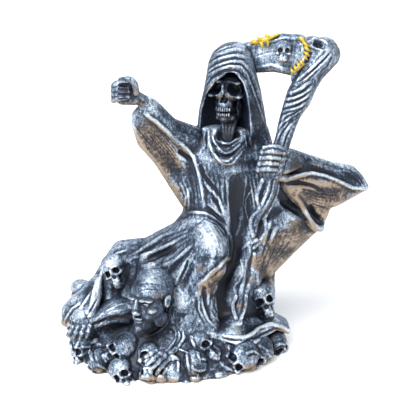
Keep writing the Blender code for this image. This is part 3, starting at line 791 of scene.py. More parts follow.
def bare_skull(bone, grain):
    """A skull with its teeth, of width 1 and facing -Y."""
    return mesh_of(bmesh_of(carved(bone, SKULL_HOLLOWS, grain), eggs(TEETH)), "skull")


def facing(centre, width, turn, nod=0, roll=0):
    """Places a head: turn about the upright, nod down and roll, in degrees."""
    way = Matrix.Rotation(math.radians(turn), 4, "Z")
    way @= Matrix.Rotation(math.radians(nod), 4, "X")
    way @= Matrix.Rotation(math.radians(roll), 4, "Y")
    return Matrix.Translation(centre) @ way @ Matrix.Diagonal((width, width, width, 1))


# The robe: trunk, lap and train, cloak and sleeves, and the hem over the heap. Level ovals are given
# as x, y, z, half width and half depth; balls and rolls as drawing point, depth and radius

ROBE_TRUNK = (
    (-6, 3, 2, 28, 20),
    (-5, 3, 12, 24, 17),
    (-3, 3, 24, 20, 14),
    (0, 2, 36, 17, 12),
    (3, 2, 44, 14, 10),
    (4, 1, 52, 13, 8.5),
    (4, 1, 60, 14.5, 9),
    (3.5, 1, 66, 15.5, 9.2),
    (3.5, 1.9, 70, 13.5, 8.4),
    (4.5, 3.5, 74, 9.5, 6.8),
)


def lap_and_train(clay):
    hip, thigh = (186, 240, 3, 6.2), (192, 232, -3, 5.5)
    train_high, train_turn = (150, 250, 8, 4.8), (122, 251, 12, 4.0)
    train_edge, train_end = (112, 266, 12, 4.0), (101, 288, 12, 4.4)
    clay.hull([hip, thigh, train_high, (165, 268, -2, 5), (190, 300, 14, 8)])
    clay.hull([train_high, train_turn, train_edge, (140, 300, 0, 5), (130, 300, 22, 5)])
    clay.hull([
        (152, 263, 0, 4.6), (166, 271, -3, 4.6), (147, 287, -1, 4.0), (166, 292, -5, 5),
        (150, 300, -3, 5),
    ])
    clay.hull([train_turn, train_edge, train_end, (112, 312, 6, 5), (112, 312, 20, 5)])
    knee, shin = (212, 246, -12, 5), (211, 268, -13, 5)
    clay.hull([thigh, (203, 222, -5, 4.5), knee, (178, 262, -6, 5), shin])
    clay.hull([knee, shin, (200, 290, -13, 5), (175, 292, -11, 5), (180, 318, -14, 5)])
    clay.hull([(200, 290, -13, 5), (203, 318, -16, 4), (185, 330, -17, 4), (212, 334, -17, 3)])
    clay.hull([
        (97, 282, 8, 2.6), (77, 301, 5, 2.6), (67, 309, 4.5, 2.0), (95, 302, 1, 2.0),
        (88, 318, -2, 2.4),
    ])
    clay.hull([
        (77, 301, 5, 2.6), (67, 309, 4.5, 2.0), (64, 323, 4, 1.3), (90, 316, -2, 2.6),
        (88, 326, 0, 2.4),
    ])


def cloak_and_left_sleeve(clay):
    wrist, sleeve_far = (288, 160, -3, 4), (345, 173, 1.5, 2.2)
    tip, near_lip = (363, 187, 0, 1.6), (325, 184, -5, 2)
    clay.hull([wrist, (316, 167, 1.5, 2.6), sleeve_far, tip, near_lip, (290, 185, -6, 3)])
    clay.hull([near_lip, tip, (335, 202, -3, 1.7), (300, 203, -3, 3), (290, 185, -6, 3)])
    clay.hull([(300, 203, -3, 3), (326, 208, -3, 1.6), (319, 226, -2, 1.6), (285, 215, -2, 4)])
    clay.hull([
        (285, 215, -2, 4), (316, 226, -2, 1.7), (303, 229, 0, 2), (262, 240, -2, 4), (288, 252, 2, 1.8),
    ])
    clay.hull([
        (262, 240, -2, 4), (288, 251, 2, 2), (268, 270, 3, 2.4), (245, 285, -4, 4), (250, 255, 8, 5),
    ])
    clay.hull([
        (268, 270, 3, 2.4), (267, 300, 4, 3), (245, 285, -4, 4), (255, 300, 14, 5), (235, 320, -6, 5),
    ])
    clay.hull([wrist, (262, 160, 2, 5), (262, 205, 2, 6), (285, 215, 0, 4), (300, 205, 0, 3)])
    clay.hull([(258, 150, -2, 4), (262, 139, 1, 3), (266, 150, 2, 2.4)])
    clay.roll([
        (296, 195, -5.6, 1.0), (302, 206, -5.8, 1.3), (308, 218, -5.4, 1.4), (315, 227, -4.6, 1.5),
        (321, 228, -3.6, 1.4),
    ])
    clay.roll([
        (330, 165, -0.5, 1.2), (340, 167, 0.6, 1.7), (350, 170, 1.0, 1.8), (358, 178, 1.0, 1.8),
        (365, 187, 0, 1.5),
    ])
    clay.roll([(268, 172, -9.0, 1.6), (282, 178, -9.0, 1.3), (298, 176, -8.0, 0.9), (312, 173, -5.4, 0.8)])


def right_sleeve(clay):
    shoulder, elbow, wrist = (196, 142, 0, 5), (168, 130, -5, 4.2), (150, 107, -9, 3.0)
    clay.hull([shoulder, elbow, (184, 168, -1, 4)])
    clay.hull([elbow, wrist, (137, 115, -8.5, 1.8), (136, 124, -8, 1.6), (143, 142, -6, 2)])
    clay.hull([elbow, (143, 142, -6, 2), (160, 160, -4, 2.2), (184, 168, -1, 4)])
    clay.hull([(184, 168, -1, 4), (160, 160, -4, 2.2), (178, 178, -2, 2.4), (192, 200, 0, 4)])
    clay.roll([(148, 106, -9, 2.6), (146, 103, -9.5, 2.5)])


def hem(clay):
    clay.hull([(214, 334, -17, 2.4), (238, 339, -19, 2.0), (228, 322, -10, 5)])
    clay.hull([(238, 339, -19, 2.0), (254, 338, -16, 1.8), (240, 324, -8, 5)])
    clay.hull([(254, 338, -16, 1.8), (265, 329, -12, 1.7), (258, 326, -6, 3), (240, 324, -8, 5)])
    clay.hull([(265, 329, -12, 1.7), (276, 324.5, -9, 1.4), (270, 320, -4, 3), (258, 326, -6, 3)])
    clay.hull([(276, 324.5, -9, 1.4), (288, 331, -7, 1.1), (282, 322, -3, 2), (270, 320, -4, 3)])


# Broad hollows and swellings, and fold lines: the drawing points that each runs through, its width
# and its height in percent
ROBE_SCOOPS = (
    (((215, 133), (227, 136), (241, 132)), 5.5, -2.4),
    (((300, 190), (320, 194), (342, 194)), 4.2, -1.5),
    (((278, 188), (288, 204), (301, 217)), 2.6, -1.4),
    (((308, 205), (313, 216), (320, 221)), 2.0, -1.3),
    (((178, 247), (163, 253), (141, 262)), 2.6, -1.0),
    (((201, 222), (213, 240), (213, 258)), 7.0, 1.1),
    (((176, 286), (182, 300), (184, 314)), 4.5, 0.8),
    (((193, 262), (187, 274), (180, 290)), 2.2, -0.8),
    (((262, 262), (268, 290), (264, 310)), 3.0, -1.4),
    (((232, 262), (222, 280), (206, 294)), 3.4, -0.6),
    (((160, 150), (172, 168), (182, 186)), 4.0, -0.6),
    (((104, 262), (100, 280), (96, 300)), 3.0, 0.7),
    (((128, 262), (120, 280), (112, 300)), 4.0, -1.6),
)
ROBE_RIDGES = (
    (((173, 137), (187, 149), (194, 157), (199, 173), (202, 191), (204, 211)), 1.1, 0.66),
    (((204, 182), (209, 188), (215, 194), (220, 200), (222, 208), (225, 218)), 0.85, 0.54),
    (((220, 184), (222, 194), (223, 203)), 0.68, 0.36),
    (((190, 186), (188, 194), (187, 202)), 0.77, 0.3),
    (((183, 217), (191, 212), (205, 213), (214, 218), (222, 224), (227, 230)), 1.1, 0.6),
    (
        ((210, 221), (219, 227), (225, 235), (228, 244), (228, 255), (220, 266), (207, 277), (197, 286)),
        1.1, 0.6,
    ),
    (((227, 230), (232, 237), (235, 245), (234, 254), (230, 262)), 0.9, 0.5),
    (((172, 231), (160, 237), (148, 245), (136, 253), (125, 259)), 1.0, 0.36),
    (((186, 235), (172, 243), (159, 249), (146, 254), (133, 258), (121, 266)), 1.0, 0.36),
    (((193, 243), (183, 254), (172, 262), (158, 268)), 1.2, 0.4),
    (((197, 224), (206, 234), (214, 246), (212, 262), (203, 275)), 1.4, 0.2),
    (((104, 262), (101, 276), (98, 291)), 1.02, 0.54),
    (((98, 276), (94, 291), (91, 302)), 0.85, 0.48),
    (((94, 288), (86, 300), (76, 315), (70, 326)), 0.8, 0.4),
    (((82, 301), (72, 309), (65, 320), (64, 328)), 0.7, 0.45),
    (((99, 296), (92, 308), (84, 320)), 0.6, -0.4),
    (((112, 256), (118, 253), (127, 250)), 0.77, 0.42),
    (((203, 292), (202, 305), (206, 318), (216, 328)), 0.55, 0.2),
    (((210, 288), (208, 302), (213, 316), (224, 325)), 0.55, 0.2),
    (((143, 112), (155, 121), (173, 137)), 1.1, 0.54),
    (((130, 116), (136, 133), (147, 152), (160, 166)), 1.02, 0.3),
    (((284, 182), (297, 176), (312, 173), (325, 176), (340, 182), (353, 188), (367, 189)), 0.9, 0.8),
    (((303, 187), (309, 188), (317, 190)), 0.5, 0.5),
    (((338, 170), (348, 171), (357, 178), (364, 187)), 0.5, 0.2),
    (((232, 345), (245, 339), (258, 329), (270, 324), (282, 327), (290, 331)), 1.0, 1.0),
    (((240, 349), (252, 343), (264, 335), (276, 329), (286, 332)), 0.8, 0.7),
    (((262, 262), (268, 245), (276, 228)), 1.0, 0.5),
    (((252, 190), (246, 200), (247, 214), (251, 226)), 0.5, 0.6),
    (((247, 172), (245, 190), (244, 205), (250, 220)), 0.4, 0.5),
    (((294, 196), (301, 203), (306, 214), (313, 224), (320, 229)), 1.19, 0.78),
    (((272, 212), (266, 236), (266, 262)), 1.36, 0.42),
    (((205, 331), (222, 337), (243, 337), (262, 331), (276, 324)), 0.77, 0.42),
    (((214, 337), (234, 343), (252, 343), (270, 334), (286, 327)), 0.77, 0.42),
)
ROBE_GROOVES = (
    (((236, 172), (236, 205), (237, 235), (236, 262), (224, 282), (220, 300), (226, 322)), 3.24, -2.38),
    (((246, 185), (248, 215), (243, 245), (236, 268)), 2.16, -1.4),
    (((178, 150), (184, 155), (191, 160)), 1.17, -1.12),
    (((200, 164), (203, 174), (208, 182), (219, 193)), 1.08, -0.84),
    (((212, 197), (218, 206), (221, 212)), 0.9, -0.63),
    (((206, 206), (214, 214), (223, 221)), 0.99, -0.7),
    (((206, 219), (217, 225), (223, 233), (227, 243), (226, 254)), 0.81, -0.63),
    (((177, 247), (164, 253), (153, 258), (140, 263)), 1.6, -0.8),
    (((163, 240), (150, 248), (137, 256)), 0.81, -0.63),
    (((188, 259), (184, 270), (178, 283)), 0.9, -0.84),
    (((302, 166), (324, 170), (348, 179)), 1.8, -0.5),
    (((285, 184), (300, 183), (312, 186), (322, 191)), 1.1, -1.2),
    (((270, 228), (267, 245), (263, 262)), 1.4, -0.8),
    (((280, 201), (291, 207), (301, 214), (307, 222)), 1.53, -1.33),
    (((306, 208), (313, 217), (319, 222)), 1.08, -0.77),
    (((203, 285), (205, 300), (211, 318)), 1.26, -0.84),
    (((212, 334), (236, 341), (256, 338), (274, 328)), 0.72, -0.49),
)
ROBE_PLEATS = (
    *fan(((188, 228), (166, 237), (140, 252)), ((199, 250), (190, 266), (181, 284)), 8, 0.6, -0.12),
    *fan(((184, 233), (174, 240), (160, 252)), ((194, 256), (189, 268), (184, 278)), 7, 0.45, 0.08),
    *fan(((204, 226), (211, 240), (213, 252)), ((213, 224), (222, 238), (224, 250)), 4, 0.5, -0.1),
    *fan(((176, 178), (184, 196), (182, 212)), ((199, 176), (201, 194), (203, 208)), 6, 0.55, -0.2),
    *fan(((134, 124), (148, 142), (166, 160)), ((160, 130), (176, 146), (190, 166)), 8, 0.55, -0.2),
    *fan(((270, 238), (266, 255), (258, 280)), ((296, 228), (288, 244), (274, 262)), 4, 0.6, -0.12),
    *fan(((300, 188), (318, 194), (338, 196)), ((306, 200), (316, 205), (326, 208)), 5, 0.5, -0.16),
    *fan(((296, 160), (316, 166), (336, 174)), ((294, 168), (310, 170), (330, 176)), 4, 0.5, -0.16),
    *fan(((208, 172), (212, 190), (214, 206)), ((230, 176), (230, 200), (232, 220)), 5, 0.55, -0.25),
    *fan(((246, 170), (252, 200), (256, 225)), ((258, 170), (262, 200), (262, 225)), 4, 0.55, -0.25),
    *fan(((196, 296), (197, 310), (204, 324)), ((216, 290), (214, 306), (222, 322)), 5, 0.55, -0.25),
)
# The back's folds: how many places each has, of how many on the way down, and all in percent their
# wave, width and height, of which the last two vary by so much from fold to fold
BACK_FOLD_PLACES, BACK_FOLD_STEPS = 90, 110
BACK_FOLD_WAVE = 1.1
BACK_FOLD_WIDTH, WIDTH_VARIES = 1.8, 0.5
BACK_FOLD_HEIGHT, HEIGHT_VARIES = 0.6, 0.35
BEHIND = 90  # percent; well behind the figure
ROBE_BACK = (13, (4, 10, 67), (-6, 32, 6))
HOOD_BACK = (6, (5.2, 3.4, 96), (5.2, 9, 70))


def back_folds(mesh, count, top, low):
    """Wavy upright folds down a hidden back, no two alike, between two (middle, half width, height)."""
    skin = tree_of(mesh)
    strokes = []
    for n in range(count):
        spread = 2 * n / (count - 1) - 1 + 0.06 * math.sin(n * 2.7)
        places = []
        for step in range(BACK_FOLD_PLACES):
            fall = 0.05 * (n % 3) + step / BACK_FOLD_STEPS
            middle, half, level = (a + (b - a) * fall for a, b in zip(top, low, strict=True))
            wave = BACK_FOLD_WAVE * math.sin(3 * fall + n * 1.9)
            hit = skin.ray_cast(at(middle + spread * half + wave, BEHIND, level), Vector((0, -1, 0)))[0]
            if hit:
                places.append(hit)
        width = BACK_FOLD_WIDTH + WIDTH_VARIES * math.cos(n * 2.3)
        height = BACK_FOLD_HEIGHT + HEIGHT_VARIES * math.sin(n * 4.1)
        strokes.append((places, width, height if n % 2 else -height))
    return strokes


def model_robe(grain):
    clay = Clay()
    clay.stack(ROBE_TRUNK)
    for shape in (lap_and_train, cloak_and_left_sleeve, right_sleeve, hem):
        shape(clay)
    robe = clay.fused("robe", grain, 18)
    cut_flat(robe.data, 1 * PERCENT)
    press(robe.data, ROBE_SCOOPS)
    press(robe.data, ROBE_RIDGES + ROBE_GROOVES + ROBE_PLEATS)
    press(robe.data, back_folds(robe.data, *ROBE_BACK))
    even_out(robe, 1)
    return robe


# The hood with its deep opening, and the cowl folds round the neck

HOOD_RINGS = (
    (5.5, 1.4, 69.5, 11.0, 8.6),
    (5.2, 1.1, 75, 10.8, 9.6),
    (5.1, 0.8, 80, 10.0, 9.8),
    (5.2, 0.8, 85, 8.9, 9.4),
    (5.0, 1.2, 89.5, 7.9, 8.8),
    (4.8, 2.0, 93.6, 7.0, 7.8),
    (5.0, 3.0, 96.6, 5.8, 6.4),
    (5.6, 3.6, 98.6, 3.7, 4.2),
    (6.0, 3.8, 99.4, 1.6, 2.0),
)
HOOD_MOUTH_RINGS = (
    (3.0, -8.5, 64, 7.5, 9.5),
    (2.2, -8.0, 74, 8.6, 10.2),
    (2.2, -8.0, 80, 8.0, 10.0),
    (2.9, -8.2, 85, 6.6, 9.6),
    (3.9, -8.6, 89, 4.4, 9.0),
    (4.6, -9.0, 92, 1.2, 8.4),
)
HOOD_RIDGES = (
    (((203, 84), (208, 75), (217, 70), (230, 66), (241, 67), (248, 76)), 0.81, 0.36),
    (((205, 76), (212, 69), (222, 64), (234, 61), (243, 62), (250, 70)), 0.9, 0.3),
    (((206, 68), (214, 61), (225, 57), (237, 55), (246, 58)), 0.75, 0.36),
    (((209, 60), (217, 54), (228, 50), (239, 49), (246, 52)), 0.9, 0.26),
    (((216, 52), (226, 47), (236, 45)), 0.72, 0.28),
    (((247, 74), (253, 90), (259, 108), (265, 126)), 0.6, 0.25),
    (((250, 66), (256, 84), (262, 102), (267, 120)), 0.72, 0.28),
    (((203, 87), (201, 100), (199, 114), (198, 127)), 0.5, 0.2),
    (((205, 91), (213, 80), (226, 74), (238, 75), (244, 82)), 0.5, 0.2),
)
HOOD_GROOVES = (
    (((204, 80), (210, 72), (219, 67), (231, 63.5), (242, 64.5), (249, 73)), 0.63, -0.34),
    (((206, 72), (213, 65), (223, 60.5), (235, 58), (244, 60)), 0.63, -0.32),
    (((208, 64), (216, 57.5), (226, 53.5), (238, 52), (245, 55)), 0.63, -0.3),
    (((212, 56), (221, 50), (232, 47.5)), 0.54, -0.3),
    (((249, 72), (255, 88), (261, 106), (266, 122)), 0.72, -0.42),
    (((205, 87), (212, 77), (224, 70.5), (238, 70.5), (246, 79)), 0.63, -0.42),
)
# Each of the cowl's rolls hangs from this height on the drawing to its own; then depth and radius
COWL_TOP = 130
COWL_ROLLS = ((145, -6.9, 1.2), (152.5, -8.0, 1.3), (160.5, -9.0, 1.3))
COWL_RIDGES = (
    (((213, 131), (217, 139), (224, 143.5), (231, 143.5), (237, 139), (242, 134)), 0.55, 0.4),
    (((211, 131), (214, 141), (219, 149), (225, 153.5), (231, 152), (238, 146), (244, 139)), 0.55, 0.4),
    (
        ((208, 129), (209, 140), (212, 150), (219, 161), (226, 165.5), (233, 163), (240, 155), (245, 147)),
        0.6, 0.45,
    ),
    (((206, 126), (204, 140), (207, 153), (215, 166), (226, 171), (237, 166), (244, 155)), 0.5, 0.3),
    (((243, 130), (246, 142), (247, 156), (245, 168)), 0.5, 0.35),
    (((247, 128), (251, 142), (251, 156)), 0.5, 0.35),
    (((207, 134), (209, 146), (215, 156), (222, 161), (229, 161), (236, 154), (242, 147)), 0.6, 0.35),
    (((212, 134), (216, 144), (222, 149), (229, 149), (236, 143), (241, 138)), 0.6, 0.35),
)
COWL_GROOVES = (
    (((212, 132), (215, 140), (221, 146), (229, 146.5), (236, 142), (243, 136)), 0.6, -0.6),
    (((210, 132), (212, 143), (217, 153), (225, 157.5), (233, 155), (240, 148), (245, 142)), 0.6, -0.6),
    (((206, 131), (206, 143), (209, 154), (216, 165), (226, 170), (235, 167), (242, 158)), 0.9, -0.8),
)


# The cowl's rolls behind the shoulders: half ovals round a middle, each a little wider and lower
BACK_ROLLS = 2
BACK_ROLL_PLACES = 9
BACK_ROLL_MIDDLE = (4.5, 2)
BACK_ROLL_HALF = (11.4, 7.5)
BACK_ROLL_WIDENS = 0.4
BACK_ROLL_LEVEL = 68.5
BACK_ROLL_DROP = 3.2
BACK_ROLL_RADIUS = 1.25


def back_roll(n):
    """The places and radii of one of the cowl's rolls behind the shoulders."""
    path = []
    for step in range(BACK_ROLL_PLACES):
        angle = math.pi * (0.07 + 0.86 * step / (BACK_ROLL_PLACES - 1))
        level = BACK_ROLL_LEVEL - BACK_ROLL_DROP * n - 1.5 * math.sin(angle) + 1.2 * math.sin(2 * angle + n)
        x = BACK_ROLL_MIDDLE[0] + BACK_ROLL_HALF[0] * math.cos(angle)
        y = BACK_ROLL_MIDDLE[1] + (BACK_ROLL_HALF[1] + BACK_ROLL_WIDENS * n) * math.sin(angle)
        path.append((at(x, y, level), BACK_ROLL_RADIUS))
    return path


def model_hood(grain):
    hood, mouth = Clay(), Clay()
    hood.stack(HOOD_RINGS)
    mouth.stack(HOOD_MOUTH_RINGS)
    shell = hood.fused("hood", grain, 6)
    hollow = baked(mouth.fused("mouth", grain, 4))
    clay = Clay()
    clay.add(cut_away(shell, hollow))
    for lowest, depth, radius in COWL_ROLLS:
        wider = lowest - COWL_ROLLS[0][0]
        hang = lowest - COWL_TOP
        clay.roll(
            [
                (208 - wider / 5, COWL_TOP, -3.5, radius * 0.8),
                (213 - wider / 6, COWL_TOP + hang * 0.7, -6.4, radius * 0.9),
                (219 - wider / 10, COWL_TOP + hang * 0.93, depth + 0.4, radius),
                (227, lowest, depth, radius),
                (235 + wider / 10, COWL_TOP + hang * 0.9, depth + 0.5, radius),
                (242 + wider / 8, COWL_TOP + hang * 0.6, -6.4, radius * 0.9),
                (250 + wider / 8, COWL_TOP, -3.0, radius * 0.8),
            ]
        )
    clay.hull([(254, 126, -3.2, 2.2), (262, 130, -1.8, 2.2), (256, 156, -4.4, 2.2), (268, 152, -3.0, 2.2)])
    for n in range(BACK_ROLLS):
        clay.roll_through(back_roll(n))
    made = clay.fused("hood", grain, 3)
    drop_crumbs(made.data)
    press(made.data, HOOD_RIDGES + HOOD_GROOVES + COWL_RIDGES + COWL_GROOVES)
    press(made.data, back_folds(made.data, *HOOD_BACK))
    return made


# The skull face and the neck

HEAD_PLACE = (4.7, 0.4, 86.9)
HEAD_WIDTH = 13.8
HEAD_TURNS = (-20, 2)  # degrees: turned to its right, and nodding
NECK_CORDS = (222, 227, 232, 237)  # across the drawing


def model_skull(grain, skull):
    clay = Clay()
    clay.add(skull, facing(at(*HEAD_PLACE), HEAD_WIDTH * PERCENT, *HEAD_TURNS))
    clay.roll([(231, 108, 0, 2.6), (229, 126, -2.0, 2.0), (228, 150, -4.0, 2.4)])
    for u in NECK_CORDS:
        middle, end = 226 + (u - 226) * 0.65, 227 + (u - 227) * 0.3
        clay.roll([(u, 116, -2.2, 0.7), (middle, 130, -5.4, 0.6), (end, 144, -6.6, 0.5)])
    made = clay.fused("skull", grain, 1)
    drop_crumbs(made.data)
    return made


# The hands: the raised fist, and the bony hand that grips the shaft


JOINT_SHARE = 1.16  # of a finger bone's radius


def bone_finger(clay, path):
    """A finger of bone: thick at its joints and thin between them."""
    clay.roll(path)
    for u, v, depth, radius in path:
        clay.ball(spot(u, v, depth), radius * JOINT_SHARE)


def model_fist(grain):
    clay = Clay()
    clay.hull([(134, 98, -12, 2.2), (132, 86, -12.5, 1.9), (122, 99, -13.5, 1.8), (121, 88, -13.5, 1.8)])
    for n in range(4):
        drop = 4.8 * n
        clay.roll([
            (127, 82 + drop, -15, 1.0), (117, 84 + drop, -15.8, 1.05), (113.5, 86 + drop, -13.5, 0.9),
        ])
    clay.roll([(136, 92, -14, 1.1), (132, 81, -15, 1.1), (121, 80, -14.2, 0.9)])
    clay.roll([(150, 107, -9, 2.4), (141, 100, -10.5, 2.0), (132, 96, -12, 2.2)])
    clay.roll([(146, 101, -11, 1.0), (138, 95, -13, 0.8), (134, 90, -14, 0.8)])
    made = clay.fused("fist", grain, 1)
    drop_crumbs(made.data)
    press(
        made.data,
        (
            (((118, 86), (124, 85), (130, 86)), 1.0, -0.9),
            (((117, 89), (127, 89)), 0.6, -0.5),
            (((117, 94), (128, 94)), 0.6, -0.5),
            (((118, 99), (128, 99)), 0.6, -0.5),
        ),
    )
    return made


def model_grip(grain):
    clay = Clay()
    clay.hull([(288, 155, -12, 1.4), (285, 170, -13, 1.3), (297, 162, -6, 2.2)])
    for n in range(4):
        v = 151.5 + 5.8 * n
        lean = 1.4 * n
        knuckle = (283 - lean, v + 1, -14.8, 0.8)
        joint = (273 - lean, v, -17.0, 0.8)
        tip = (263 - lean, v + 0.6, -15.6, 0.8)
        bone_finger(clay, [knuckle, joint, tip])
        clay.roll([(285 - lean, v + 1, -14.2, 0.6), (294, 156 + 3.5 * n, -9.5, 0.6)])
    clay.roll([(287, 152, -13.5, 0.8), (276, 146.5, -16.4, 0.65), (264, 147.5, -16.2, 0.6)])
    made = clay.fused("grip", grain, 1)
    drop_crumbs(made.data)
    return made


# The scythe: a root-like shaft, the beast's head at its top, and the blade

# Drawing point, depth and share of the radius, from the foot up
SHAFT_LINE = (
    (237, 320, -19.5, 0.9),
    (240, 303, -18.6, 1.1),
    (244, 288, -17.8, 1.0),
    (248, 270, -17, 0.8),
    (251, 250, -16.2, 1.1),
    (258, 228, -15.2, 0.9),
    (266, 200, -14.2, 1.25),
    (272, 175, -13.4, 1.0),
    (283, 140, -12, 0.92),
    (290.5, 115, -9.6, 1.1),
    (298.5, 98, -7.6, 1.45),
    (305, 84, -5.6, 1.4),
    (314, 66, -3, 1.6),
    (324, 52, -1.4, 1.6),
)
SHAFT_RADIUS = 2.82
GRIP_POINT = 7  # from here up the shaft is a twisted branch, below it is a root
STRAND_SHARE = 0.85  # of the radii in the list
# Strands of the root, as drawing points, depths and radii
ROOT_STRANDS = (
    (
        (271, 172, -13.4, 3.4), (268, 188, -13.8, 3.1), (264, 201, -14.2, 2.6), (259, 212, -14.6, 1.9),
        (254, 224, -15.0, 1.3),
    ),
    ((256, 220, -14.8, 1.0), (254, 232, -15.2, 0.9), (250, 243, -15.6, 1.4), (248, 254, -16.0, 1.2)),
    ((248, 254, -16.0, 1.2), (245, 264, -16.4, 0.7), (244, 276, -17.0, 0.7), (242, 288, -17.6, 1.2)),
    ((242, 288, -17.6, 1.2), (240, 300, -18.3, 1.7), (238, 312, -19.0, 1.9), (238, 322, -19.6, 1.8)),
    ((277, 180, -13.2, 1.0), (276, 192, -13.6, 1.0), (270, 206, -14.2, 0.9), (264, 218, -14.8, 0.8)),
    ((264, 218, -14.8, 0.8), (266, 230, -15.0, 0.8), (261, 240, -15.4, 0.9), (253, 247, -15.8, 1.0)),
    (
        (263, 180, -15.0, 0.9), (257, 196, -15.4, 0.9), (259, 208, -15.6, 0.7), (251, 220, -15.8, 0.7),
        (253, 236, -16.2, 0.8),
    ),
    ((256, 240, -15.8, 0.9), (248, 244, -16.2, 0.9), (243, 249, -16.0, 0.5)),
    ((254, 254, -15.8, 0.9), (253, 266, -16.2, 0.9), (251, 280, -17.0, 0.9), (246, 291, -17.8, 1.1)),
    (
        (241, 260, -16.8, 0.4), (243, 270, -17.0, 0.6), (240, 280, -17.4, 0.6), (235, 286, -17.8, 0.6),
        (236, 295, -18.2, 0.9),
    ),
    ((236, 296, -19.4, 0.7), (233, 306, -20.0, 0.7), (236, 318, -20.8, 0.8)),
    ((246, 296, -18.8, 0.7), (245, 306, -19.4, 0.7), (241, 318, -20.4, 0.8)),
)


def model_shaft(grain):
    clay = Clay()
    branch = SHAFT_LINE[GRIP_POINT:]
    clay.roll([(u, v, depth, SHAFT_RADIUS * share) for u, v, depth, share in branch])
    for strand in ROOT_STRANDS:
        clay.roll([(u, v, depth, radius * STRAND_SHARE) for u, v, depth, radius in strand])
    clay.hull([
        (306, 80, -5, 3.6), (327, 55, -1, 4.2), (312, 44, -1.5, 2.6), (297, 70, -3.5, 2.4),
        (303, 47, -2, 2.4),
    ])
    clay.roll([(326, 50, -3.2, 1.5), (331, 57, -3.6, 1.8), (326, 66, -4.4, 1.5)])
    clay.roll([(301, 66, -5.6, 1.0), (295, 73, -5.8, 1.2), (294, 80, -5.6, 0.9), (298, 85, -6.0, 0.8)])
    made = clay.fused("shaft", grain, 4)
    drop_crumbs(made.data)
    press(made.data, SHAFT_STROKES)
    return made


# Cloth-like folds wind up the branch and fan out over the beast's head
SHAFT_FOLDS = (
    # the line of each fold, and its breadth and height as a share
    (((296, 81), (306, 73), (315, 65), (324, 56), (330, 49)), 0.9),
    (((287, 86), (296, 84), (306, 79), (316, 69), (324, 61)), 0.5),
    (((285, 94), (294, 92.5), (303, 88), (311, 81)), 1.3),
    (((284, 100), (293, 98.5), (302, 94.5), (310, 88)), 1.1),
    (((283, 106), (292, 104.5), (300, 101), (308, 95)), 1.2),
    (((282, 112), (290, 109.5), (298, 106)), 0.9),
    (((279, 122), (286, 115), (294, 110.5), (303, 104)), 1.1),
    (((276, 133), (282, 123), (291, 115.5), (299, 111)), 1.0),
    (((275, 144), (280, 131), (288, 121), (296, 115)), 0.8),
    (((281, 148), (285, 134), (291, 124)), 0.7),
    (((302, 62), (307, 56), (309, 50), (306, 45)), 1.0),
)
# A fold's ridge and the groove beside it: widths and heights of one with share 1
RIDGE_WIDTH, RIDGE_HEIGHT = 0.8, 0.38
GROOVE_WIDTH, GROOVE_HEIGHT = 0.65, -0.44
GROOVE_SHIFT = (1.4, 2.3)  # drawing points from ridge to groove


def shaft_folds():
    """Strokes for the ridge and the groove of every fold."""
    ridges = [(line, RIDGE_WIDTH * share, RIDGE_HEIGHT * share) for line, share in SHAFT_FOLDS]
    grooves = []
    for line, share in SHAFT_FOLDS:
        beside = tuple((u + GROOVE_SHIFT[0], v + GROOVE_SHIFT[1]) for u, v in line)
        grooves.append((beside, GROOVE_WIDTH * share, GROOVE_HEIGHT * share))
    return ridges + grooves


SHAFT_STROKES = (
    (((313, 42), (318, 43.5), (323, 46)), 1.5, -1.3),
    (((310, 38.5), (317, 38.5), (325, 41), (329, 46)), 0.6, 0.3),
    (((310, 46), (316, 48.5), (323, 50.5)), 0.6, 0.3),
    *shaft_folds(),
    (((273, 178), (271, 192), (264, 206)), 0.6, -0.4),
    (((266, 180), (262, 194), (258, 206)), 0.6, -0.4),
    (((270, 179), (267, 192), (261, 206)), 0.5, 0.3),
)
BLADE_THICKNESS = 2.8


def model_blade(grain):
    clay = Clay()
    flat = BLADE_THICKNESS / 2
    heel_low, heel_high = (291, 71, -3, flat), (301, 39, -2, flat)
    mid_low, mid_high = (274, 67.5, -0.5, flat), (282, 38, 0, flat)
    end_low, end_high = (247, 69, 3, flat), (246, 47, 4, flat)
    clay.hull([heel_low, heel_high, mid_low, mid_high])
    clay.hull([mid_low, mid_high, end_low, end_high])
    made = clay.fused("blade", grain, 1)
    press(
        made.data,
        (
            (((252, 46), (268, 42), (284, 38), (298, 39)), 0.7, 0.3),
            (((255, 68), (272, 65), (288, 70)), 0.8, 0.3),
            (((253, 57), (264, 53), (274, 51)), 0.5, -0.15),
        ),
    )
    return made


EMBLEM_PLACE = (283, 51, -3.4)
EMBLEM_WIDTH = 5.2
EMBLEM_TURNS = (4, -12, 3)
EMBLEM_BONE = [
    (0, 0, 0.16, 0.56, 0.34, 0.44),
    (0, -0.08, -0.42, 0.33, 0.22, 0.3),
    *mirrored([(0.34, -0.12, -0.16, 0.13, 0.2, 0.11)]),
    *tooth_row(-0.5, 5, 0.2, -0.31, (0.035, 0.05, 0.11)),
]
EMBLEM_HOLLOWS = [
    (0, -0.36, -0.26, 0.06, 0.2, 0.09),
    *mirrored([(0.21, -0.36, 0.02, 0.165, 0.26, 0.17), (0.42, -0.3, -0.42, 0.12, 0.3, 0.14)]),
]


def model_emblem(grain):
    clay = Clay()
    skull = carved(EMBLEM_BONE, EMBLEM_HOLLOWS, COARSE_HEAD)
    clay.add(skull, facing(spot(*EMBLEM_PLACE), EMBLEM_WIDTH * PERCENT, *EMBLEM_TURNS))
    return clay.fused("emblem", grain, 0)


